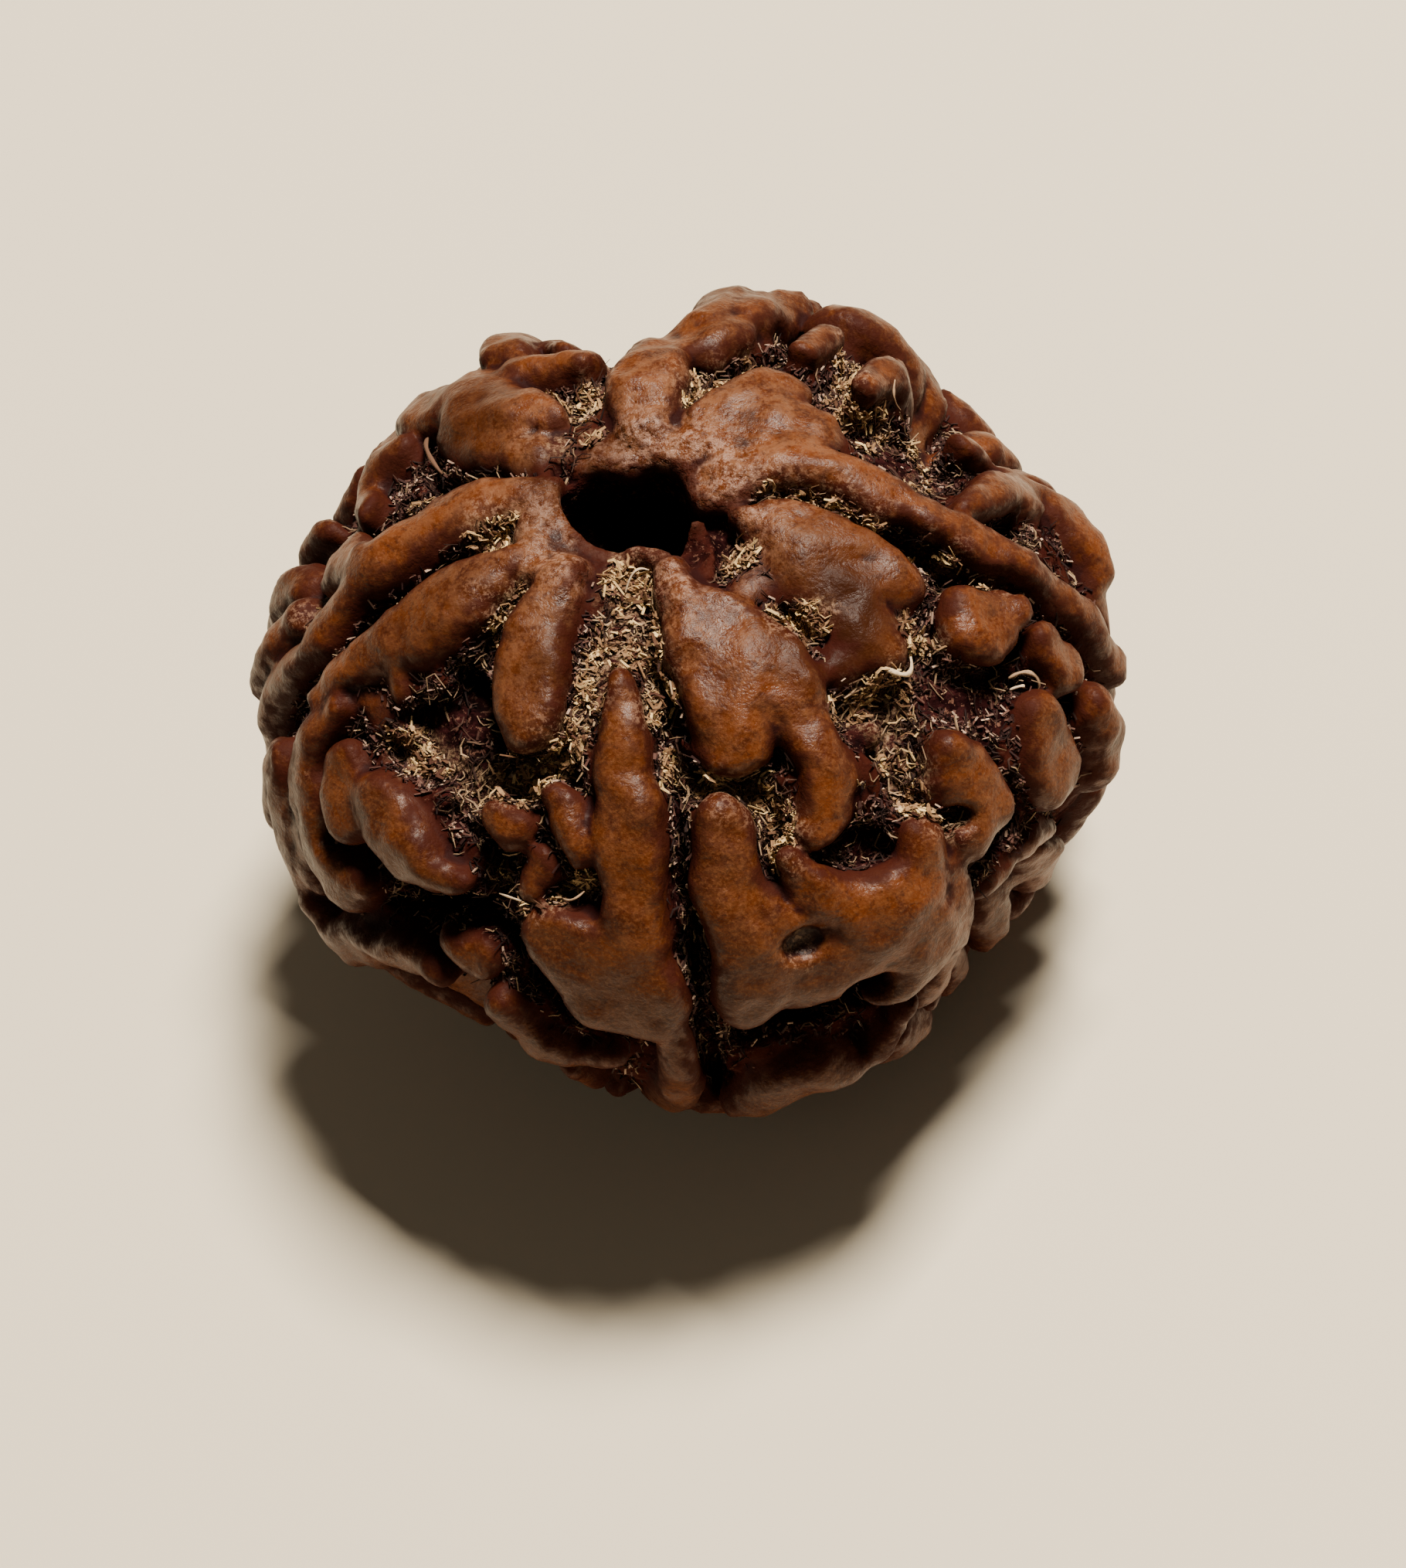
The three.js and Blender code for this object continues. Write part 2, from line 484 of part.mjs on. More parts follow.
// Warts between the banks: bent swellings, most with an arm, kept where they are clear of all others
function scatterWarts(lobes, tries, breadth, gap) {
  for (let i = 0; i < tries; i++) {
    const azimuth = random() * 360;
    const latitude = Math.asin(random() * 1.4 - 0.93) / RAD;
    const heading = random() * 2 * Math.PI;
    const bend = (random() - 0.5) * 1.6;
    const half = breadth * (0.8 + 0.45 * random());
    const reach = half * (0.5 + 1.3 * random());
    const crown = 0.3 * random() - 0.2;
    const behind = azimuth > 18 && azimuth < 152 && latitude < 31;
    if (!behind && latitude > -19) continue;
    const step = (angle) => [
      azimuth + degreesAcross(reach * Math.cos(angle), latitude),
      latitude + degreesAlong(reach * Math.sin(angle)),
      half * 0.8,
    ];
    const path = [step(heading + Math.PI + bend), [azimuth, latitude, half], step(heading)];
    if (!clearOf(path, lobes, gap)) continue;
    lobes.push(lobe(crown, ...path));
    const arm = [[azimuth, latitude, half * 0.85], step(heading + Math.PI / 2 + bend / 2)];
    if (random() < ARMED) lobes.push(lobe(crown - 0.1, ...arm));
  }
}

// Hollows of the unseen side, which show between its warts
function scatterHollows(valleys, count) {
  while (valleys.length < count) {
    const azimuth = random() * 360;
    const latitude = Math.asin(random() * 1.4 - 0.93) / RAD;
    const heading = random() * 2 * Math.PI;
    const half = 0.5 + 0.6 * random();
    const depth = 1.1 + 0.6 * random();
    const behind = azimuth > 18 && azimuth < 152 && latitude < 31;
    if (!behind && latitude > -19) continue;
    const end = [
      azimuth + degreesAcross(2 * half * Math.cos(heading), latitude),
      latitude + degreesAlong(2 * half * Math.sin(heading)),
      half * 0.7,
    ];
    valleys.push(valley(depth, [azimuth, latitude, half], end));
  }
}

const lobes = [...LOBES, ...CREASES.flatMap(banksOf), ...CREASES.map(shoulderOf)];
scatterWarts(lobes, 2500, 0.95, 0.2);
scatterWarts(lobes, 2500, 0.75, -0.3);
scatterWarts(lobes, 2500, 0.5, 0.05);
const valleys = [...VALLEYS, ...CREASES.map(creaseOf)];
scatterHollows(valleys, HOLLOWS);

function smoothMax(a, b, width) {
  const near = Math.max(width - Math.abs(a - b), 0) / width;
  return Math.max(a, b) + (near * near * width) / 4;
}

// Where a point lies from a traced path: the nearest sample, and the distance outside its outline
function fromPath(each, point) {
  let [sample, outside] = [null, Infinity];
  if (point.distanceTo(each.middle) > each.reach + 2.5) return { sample, outside };
  for (const tried of each.samples) {
    const away = point.distanceTo(tried.point) - tried.half;
    if (away < outside) [sample, outside] = [tried, away];
  }
  return { sample, outside };
}

// A lobe's crown is rounded over its shoulders, and its flanks run on from them straight
function lobeHeight(each, point) {
  const { sample, outside } = fromPath(each, point);
  if (!sample) return -Infinity;
  const shoulder = Math.min(sample.half, SHOULDER);
  if (outside < -shoulder) return each.crown;
  const rounded = Math.min(outside, 0) + shoulder;
  return each.crown - ROUNDNESS * rounded * (rounded + 2 * Math.max(outside, 0));
}

// The base between the lobes, sunk along the valleys
function floorHeight(point, mouth) {
  const base = -BASE_DEPTH * (1 - 0.65 * mouth);
  let sunk = 0;
  for (const each of valleys) {
    const { outside } = fromPath(each, point);
    const t = Math.min(Math.max(0.5 - outside / (2 * VALLEY_WALL), 0), 1);
    sunk = Math.max(sunk, (each.depth - BASE_DEPTH) * t * t * (3 - 2 * t));
  }
  return base - sunk;
}

function relief(point) {
  const around = (point.x ** 2 + point.y ** 2) / MOUTH_SPREAD ** 2;
  let height = floorHeight(point, Math.exp(-around / 2));
  for (const each of lobes) height = smoothMax(height, lobeHeight(each, point), BLEND);
  for (const [azimuth, latitude, radius, depth] of PITS) {
    const away = point.distanceTo(surfacePoint(azimuth, latitude)) / radius;
    if (away < 1) height = Math.min(height, -depth);
  }
  for (const [azimuth, latitude, spread, depth] of DENTS) {
    const away = point.distanceTo(surfacePoint(azimuth, latitude)) / spread;
    height -= depth * Math.exp(-away * away);
  }
  return height - MOUTH_SINK * Math.exp(-around);
}

// The relief softened a little, as the mean of a spot and six around it
function softRelief(point, outward) {
  const side = new THREE.Vector3(1, 0, 0).cross(outward).normalize();
  let sum = 2 * relief(point);
  for (let i = 0; i < 6; i++) {
    const spot = point.clone().addScaledVector(side, SOFTENED_OVER);
    sum += relief(ontoEllipsoid(spot));
    side.applyAxisAngle(outward, Math.PI / 3);
  }
  return sum / 8;
}

const ontoEllipsoid = (point) => point.divideScalar(point.clone().divide(SCALE).length());

// Where a corner of the mesh would slide to: the bottom of a narrow gap, or else the outline of a lobe
function slideOf(point) {
  let [first, second] = [{ outside: Infinity }, { outside: Infinity }];
  for (const each of lobes) {
    const found = fromPath(each, point);
    if (found.outside < first.outside) [first, second] = [found, first];
    else if (found.outside < second.outside) second = found;
  }
  const toGap = (second.outside - first.outside) / 2;
  const move = toGap < SLIDE ? toGap : -first.outside;
  if (Math.abs(move) > SLIDE) return null;
  const along = point.clone().sub(first.sample.point).normalize();
  return { move: Math.abs(move), to: ontoEllipsoid(point.clone().addScaledVector(along, move)) };
}

// Slides corners onto gaps and outlines, the nearest first, then evens out the others between them
function alignCorners(corners, neighbours) {
  const slides = corners.map((corner, i) => ({ i, ...slideOf(corner) })).filter(({ to }) => to);
  slides.sort((a, b) => a.move - b.move);
  const settled = new Set();
  for (const { i, to } of slides) {
    if (neighbours[i].some((n) => corners[n].distanceTo(to) < CLOSEST)) continue;
    corners[i].copy(to);
    settled.add(i);
  }
  for (let pass = 0; pass < EASE_PASSES; pass++) {
    corners.forEach((corner, i) => {
      if (settled.has(i)) return;
      const mean = new THREE.Vector3();
      for (const n of neighbours[i]) mean.addScaledVector(corners[n], 1 / neighbours[i].length);
      ontoEllipsoid(corner.lerp(mean, 0.5));
    });
  }
}

function stoneGeometry() {
  const geometry = new THREE.IcosahedronGeometry(1, SPLITS);
  geometry.deleteAttribute("normal");
  geometry.deleteAttribute("uv");
  const merged = mergeVertices(geometry, 1e-5);
  const place = merged.getAttribute("position");
  const corners = Array.from({ length: place.count }, (_, i) =>
    new THREE.Vector3().fromBufferAttribute(place, i).multiply(SCALE),
  );
  const neighbours = corners.map(() => []);
  const ring = merged.index.array;
  ring.forEach((corner, k) => neighbours[corner].push(ring[k % 3 === 2 ? k - 2 : k + 1]));
  alignCorners(corners, neighbours);
  corners.forEach((corner, i) => {
    const outward = corner.clone().divide(SCALE).divide(SCALE).normalize();
    const raised = corner.clone().addScaledVector(outward, softRelief(corner, outward)).add(CENTRE);
    place.setXYZ(i, raised.x, raised.y, raised.z);
  });
  return merged;
}

function boreGeometry() {
  const top = 2 * CENTRE.z;
  const profile = [
    [0, -2],
    [MOUTH_RADIUS + 0.4, -2],
    [MOUTH_RADIUS, 1.5],
    [BORE_RADIUS, 4.5],
    [BORE_RADIUS, top - 5.5],
    [MOUTH_RADIUS, top - 2],
    [MOUTH_RADIUS + 0.4, top + 2],
    [0, top + 2],
  ].map(([r, z]) => new THREE.Vector2(r, z));
  const bore = new THREE.LatheGeometry(profile, BORE_SIDES);
  return bore.rotateX(Math.PI / 2).translate(BORE_AT.x, BORE_AT.y, 0);
}

const wasm = await Module();
wasm.setup();

function solidFrom(geometry) {
  geometry.deleteAttribute("normal");
  geometry.deleteAttribute("uv");
  const merged = mergeVertices(geometry, 1e-5);
  return new wasm.Manifold(
    new wasm.Mesh({
      numProp: 3,
      vertProperties: merged.getAttribute("position").array,
      triVerts: new Uint32Array(merged.index.array),
    }),
  );
}

function geometryFrom(solid) {
  const { vertProperties, triVerts } = solid.getMesh();
  const geometry = new THREE.BufferGeometry();
  geometry.setAttribute("position", new THREE.BufferAttribute(vertProperties, 3));
  geometry.setIndex(new THREE.BufferAttribute(triVerts, 1));
  geometry.computeVertexNormals();
  return geometry;
}

const ground = new THREE.BoxGeometry(40, 40, 10).translate(0, 0, -5);
const stone = solidFrom(stoneGeometry()).subtract(solidFrom(boreGeometry())).subtract(solidFrom(ground));

const bark = new THREE.MeshStandardMaterial({ color: 0x7a3d1c, roughness: 0.5, metalness: 0 });
const seed = new THREE.Mesh(geometryFrom(stone), bark);
seed.name = "seed";

const bead = new THREE.Group();
bead.add(seed);

export default bead;
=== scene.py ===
"""A rudraksha seed.

The plain stone is dressed with its fine relief, its waxy shell and the dry pulp in its valleys. Shapes are
worked out in millimetres about the stone's centre, and go into Blender in metres.
"""

import math

import bpy
import numpy as np
from mathutils import Matrix, Vector


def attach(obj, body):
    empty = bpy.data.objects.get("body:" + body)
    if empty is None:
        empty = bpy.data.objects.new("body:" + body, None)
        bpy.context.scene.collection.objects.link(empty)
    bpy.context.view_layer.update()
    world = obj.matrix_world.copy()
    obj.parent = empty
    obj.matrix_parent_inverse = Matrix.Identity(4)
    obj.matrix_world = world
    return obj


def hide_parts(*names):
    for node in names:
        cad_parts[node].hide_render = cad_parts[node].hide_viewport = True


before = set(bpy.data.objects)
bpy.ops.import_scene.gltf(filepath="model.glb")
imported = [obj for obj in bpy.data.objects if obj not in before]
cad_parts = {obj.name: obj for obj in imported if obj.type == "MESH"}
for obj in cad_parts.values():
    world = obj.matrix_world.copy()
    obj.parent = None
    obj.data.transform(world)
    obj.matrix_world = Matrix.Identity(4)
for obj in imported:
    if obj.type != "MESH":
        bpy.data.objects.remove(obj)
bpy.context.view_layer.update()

MM = 0.001
RADIUS, HALF_HEIGHT, CENTRE_Z = 11.95, 9.7, 8.75

# The stone's relief, the same as the solid's

BASE_DEPTH = 0.85
MOUTH_SINK, MOUTH_SPREAD = 1.0, 2.5
BORE_AT = (-0.15, 0.1)
SAMPLE_STEP, LINE_EVERY = 0.25, 3


def surface_point(azimuth, latitude):
    """A point of the reference ellipsoid, from degrees."""
    a, b = np.radians(azimuth), np.radians(latitude)
    ring = RADIUS * np.cos(b)
    return np.stack([ring * np.cos(a), ring * np.sin(a), HALF_HEIGHT * np.sin(b)], -1)


class Trace:
    """A path of (azimuth, latitude, half-width), at the level of a lobe's crown or of a valley's floor."""

    def __init__(self, level, path):
        points, halves = [], []
        for i, (start, end) in enumerate(zip(path, path[1:])):
            turn = (end[0] - start[0] + 540) % 360 - 180
            length = np.linalg.norm(surface_point(*start[:2]) - surface_point(*end[:2]))
            steps = max(1, math.ceil(length / SAMPLE_STEP))
            t = np.arange(0 if i == 0 else 1, steps + 1) / steps
            points.append(surface_point(start[0] + turn * t, start[1] + (end[1] - start[1]) * t))
            halves.append(start[2] + (end[2] - start[2]) * t)
        self.level = level
        self.points, self.halves = np.concatenate(points), np.concatenate(halves)
        keep = sorted({*range(0, len(self.points), LINE_EVERY), len(self.points) - 1})
        self.line, self.line_halves = self.points[keep], self.halves[keep]
        self.middle = self.points.mean(0)
        self.reach = (np.linalg.norm(self.points - self.middle, axis=1) + self.halves).max()


# Lobes of the upper and front side, read off the stone: the crown's level over the ellipsoid, then
# azimuth and latitude in degrees and half-width at each point of the path
LOBES = [
    # front crease, its left bank
    (0.0, (251.5, 64.5, 0.4), (251.5, 60, 0.6), (252, 55, 0.85), (252.3, 50, 0.95), (252.8, 42, 1.0),
     (253, 35, 0.95), (252.5, 28, 1.0)),
    (0.0, (240.5, 27.5, 0.9), (244, 24, 1.4), (249, 20, 1.75), (253, 16, 1.4), (255, 12, 0.8)),
    (-0.1, (256, 10, 0.6), (256, 0, 0.6), (255, -10, 0.65), (252, -20, 0.7), (251, -32, 0.8)),
    (-0.2, (238.5, 47.5, 0.5), (241.5, 45, 0.65), (244.5, 42.5, 0.55)),
    (-0.3, (237.5, 39, 0.4), (236.5, 36, 0.45), (236, 33.5, 0.35)),
    (-0.05, (229.3, 42.5, 0.55), (231.8, 42, 0.6)),
    # front crease, its right bank
    (0.0, (277, 80, 0.45), (277.5, 76, 0.7), (278, 70, 1.0), (278, 64, 1.25), (278, 58, 1.4),
     (276, 54.5, 1.15)),
    (-0.05, (287, 73, 0.6), (290, 67, 0.9), (291, 61, 1.15), (291, 55, 0.95), (290.5, 49.5, 0.75)),
    (0.0, (290.5, 49.5, 0.75), (291, 45, 0.75), (288, 41, 0.85), (284.5, 38.8, 0.7)),
    (0.1, (268.8, 43.5, 0.85), (268.5, 38, 0.95), (268, 31, 0.95), (268, 24, 1.0), (268.5, 17, 1.1),
     (267, 12, 0.8)),
    (0.0, (272, 30, 0.8), (273, 22, 1.4), (275, 15, 1.3)),
    # broad lobe low on the right of the front crease
    (0.0, (278, 36.5, 0.35), (279.5, 32.5, 0.65), (281.5, 27, 0.85), (286, 21.8, 1.1), (292, 21.8, 1.15),
     (296.5, 25, 0.85), (297.5, 29, 0.6)),
    (0.0, (270, 24, 0.9), (271, 16, 1.1), (277, 15, 1.2), (283, 16.5, 1.3), (289, 16.5, 1.5),
     (293, 12, 1.3)),
    (0.0, (285.5, 5.5, 0.8), (290, 5.5, 1.0), (293, 10, 1.1)),
    (0.1, (263, -20, 0.8), (268, -12, 1.0), (273, -11, 1.05), (277.5, -15, 0.85)),
    (0.0, (288, -3, 0.35), (284, -9, 0.4), (280, -17, 0.5), (275, -26, 0.65)),
    (-0.15, (299.5, 20, 0.45), (299, 10, 0.65), (297, 0, 0.7), (293, -12, 0.8)),
    # right of the big pale valley
    (0.0, (309.5, 34, 0.7), (308.8, 28.5, 1.1), (308, 24, 1.1), (304, 21.5, 0.75)),
    (-0.1, (325, 24, 0.9), (323.5, 18.5, 1.2), (322, 12.5, 1.1)),
    (0.15, (334.3, 12.5, 0.7), (333.7, 7, 0.95), (332, 0.5, 0.9)),
    (-0.45, (305, 5, 0.5), (309, 2.5, 0.7), (313, -1, 0.8)),
    (-0.3, (315, 2, 0.8), (319, -3, 0.9)),
    (0.1, (335, 28, 0.65), (334.8, 23.8, 0.85)),
    (0.05, (333, 44.5, 0.7), (331, 41.8, 1.15), (334, 38.8, 0.9), (336.5, 35.5, 0.45)),
    (-0.7, (299.6, 45.3, 0.42), (301.6, 44.3, 0.42)),
    (-0.45, (298.5, 56.5, 0.4), (305, 55.3, 0.55), (311, 54.3, 0.55)),
    # between the mouth and the right crease
    (-0.1, (341, 77, 0.4), (336, 72, 0.95), (333, 66, 1.3), (331, 59.5, 1.35), (330.5, 54.5, 0.85)),
    (-0.2, (322, 68, 0.95), (320, 61, 1.1), (316.5, 55, 1.05), (314.5, 51.5, 0.75)),
    (-0.5, (299, 71, 0.6), (309, 71, 0.7), (322, 71, 0.9)),
    # right crease, its upper bank
    (0.0, (9, 71, 0.8), (4, 66, 0.75), (358, 61.3, 0.7), (351.5, 56, 0.62), (348, 50.5, 0.52),
     (345.8, 43, 0.47), (345, 35, 0.47)),
    (0.0, (345, 35, 0.47), (344.8, 27, 0.5), (344.8, 19, 0.58), (345, 10, 0.65), (345.5, 4, 0.65)),
    (-0.55, (345, -1, 0.7), (345, -12, 0.8)),
    # smooth shoulder right of the mouth
    (-0.1, (46, 79, 0.6), (41, 73, 1.25), (37, 67, 1.45), (36.5, 62, 0.95)),
    (-0.1, (22, 79, 0.6), (22, 73, 1.25), (20, 68, 1.45), (17, 63.5, 0.95)),
    (-0.15, (2, 81, 0.5), (10, 76, 0.75), (14, 71, 0.8)),
    # rim of the mouth, at the back
    (-0.25, (72, 79.5, 0.7), (60, 78.5, 0.75), (50, 77, 0.8)),
    (-0.3, (106, 78.5, 0.7), (92, 77, 0.85), (80, 76, 0.9)),
    (-0.35, (152, 77.5, 0.6), (163, 76, 0.9), (174, 75.5, 0.9)),
    (-0.5, (172, 78.5, 0.7), (183, 78, 0.8)),
    (-0.3, (184, 75, 0.85), (196, 75.5, 0.95), (205, 77, 0.7)),
    (-0.65, (110, 75, 0.6), (119, 76.5, 0.75)),
    (-0.8, (129, 78.5, 0.6), (143, 80, 0.65)),
    # lip of the mouth, at the front
    (-0.15, (238, 84.5, 0.35), (248, 85, 0.5), (258, 84.5, 0.35)),
    # far right
    (0.3, (24.5, 53.5, 0.4), (27, 49.5, 0.58), (29.5, 44.5, 0.68), (31.5, 38, 0.75), (32.5, 32, 0.7)),
    (0.45, (49.4, 35, 0.62), (44.5, 32, 0.85), (41, 29.5, 0.8), (37, 26, 0.65)),
    (0.15, (42.5, 52, 0.4), (44, 48, 0.6), (44.2, 44.5, 0.5)),
    (0.0, (353, 46, 0.35), (357.5, 41, 0.6), (2, 35.5, 0.85), (5, 30, 0.85), (8, 24, 0.85)),
    (0.05, (10, 27, 0.8), (8, 20, 1.0), (3, 13, 1.0), (358, 9, 0.85)),
    (0.0, (12.5, 38, 0.55), (13.5, 33, 0.65)),
    (-0.35, (355, 8, 0.7), (353, 0, 0.7)),
    # far side, left bank of its crease
    (0.1, (79, 75, 0.9), (78, 69, 1.1), (75, 62, 1.0), (71, 56, 0.8), (68, 50, 0.65)),
    (0.4, (66, 52, 0.85), (67, 44, 0.85), (66, 36, 0.85)),
    (0.4, (58.8, 48, 0.72), (58.2, 41, 0.8), (57.8, 34, 0.8)),
    (0.1, (63, 58, 0.7), (59, 53, 0.6)),
    # far left
    (0.2, (109, 51, 0.8), (102, 54, 0.85), (95.5, 56, 0.7)),
    (0.5, (107, 44, 0.95), (104, 37, 0.9)),
    (0.5, (96.5, 49, 0.5), (97, 42, 0.6)),
    (0.1, (116, 68, 0.6), (119.5, 62, 1.15), (121, 55, 1.35), (119, 49, 1.15)),
    (-0.3, (130, 69, 0.8), (131, 61, 1.0), (130, 54, 0.8)),
    (0.1, (124, 46, 0.95), (125, 39, 1.05)),
    (0.1, (134.5, 43, 0.6), (138.5, 38.5, 0.8), (144, 38, 0.75), (148.5, 42.5, 0.5)),
    (-0.2, (151, 37, 0.55), (152, 32, 0.6)),
    # between the two left creases
    (0.0, (149, 76, 0.65), (153.5, 70, 0.7), (160, 60, 0.95), (165.5, 50, 0.95), (169, 43, 0.85),
     (171, 37, 0.8)),
    (0.0, (171, 37, 0.8), (171.5, 29, 0.7), (171, 20, 0.8), (170, 10, 0.8), (170, 0, 0.8)),
    (0.1, (163, 47, 0.6), (158.5, 41.5, 0.95), (155.5, 34.5, 0.95)),
    (0.3, (163, 28, 0.65), (164, 19, 0.85), (162, 9, 0.85)),
    (0.35, (156, 26, 0.6), (154.5, 18, 0.75), (153, 9, 0.75)),
    # below the left crease
    (0.0, (187, 71, 0.6), (188.5, 65, 1.15), (188.5, 58, 1.25), (187, 51, 0.95), (184, 44, 0.7),
     (182.5, 36, 0.55)),
    (-0.3, (190, 51, 0.55), (194.5, 48.5, 0.55)),
    (0.0, (187, 37, 0.55), (188, 30, 0.65), (191, 24.5, 0.55)),
    (-0.6, (190, 42, 0.6), (194, 43.5, 0.6)),
    (0.0, (211, 77, 0.55), (216, 71, 0.8), (221.5, 65, 1.05), (226, 59.5, 1.1), (228.5, 56.5, 0.9)),
    # low on the left
    (0.0, (196, 34, 0.7), (199, 32, 0.85), (200.5, 28, 0.85)),
    (0.1, (205, 34, 0.85), (210.5, 33, 1.15), (216, 30.5, 1.05), (220.5, 29.5, 0.75), (224.5, 31, 0.45)),
    (0.2, (183, 19, 0.5), (185.5, 13, 0.75), (188, 7, 0.85), (192, 1, 0.85)),
    (0.0, (193, 24, 0.7), (196.5, 17, 1.05), (202.5, 14.5, 1.15), (207.5, 18.5, 0.55)),
    (0.35, (196, -4, 0.7), (200, -7, 0.9), (204, -4, 1.1), (209, 2, 1.0), (215, 6.5, 0.85),
     (221, 10.5, 0.7)),
    (-0.1, (224, 18.5, 0.45), (228.5, 17.5, 0.7)),
    (0.1, (233, 10.5, 0.65), (235, 5, 0.9), (239, 0, 0.85)),
    (-0.2, (237, -3, 0.55), (242, -1, 0.5), (246.5, 1, 0.45)),
    (-0.1, (187, 26, 0.45), (189.5, 19, 0.7), (192, 11, 0.8), (195, 4, 0.6)),
    (0.25, (181, 17, 0.55), (180.5, 11, 0.75), (182, 4, 0.85)),
]

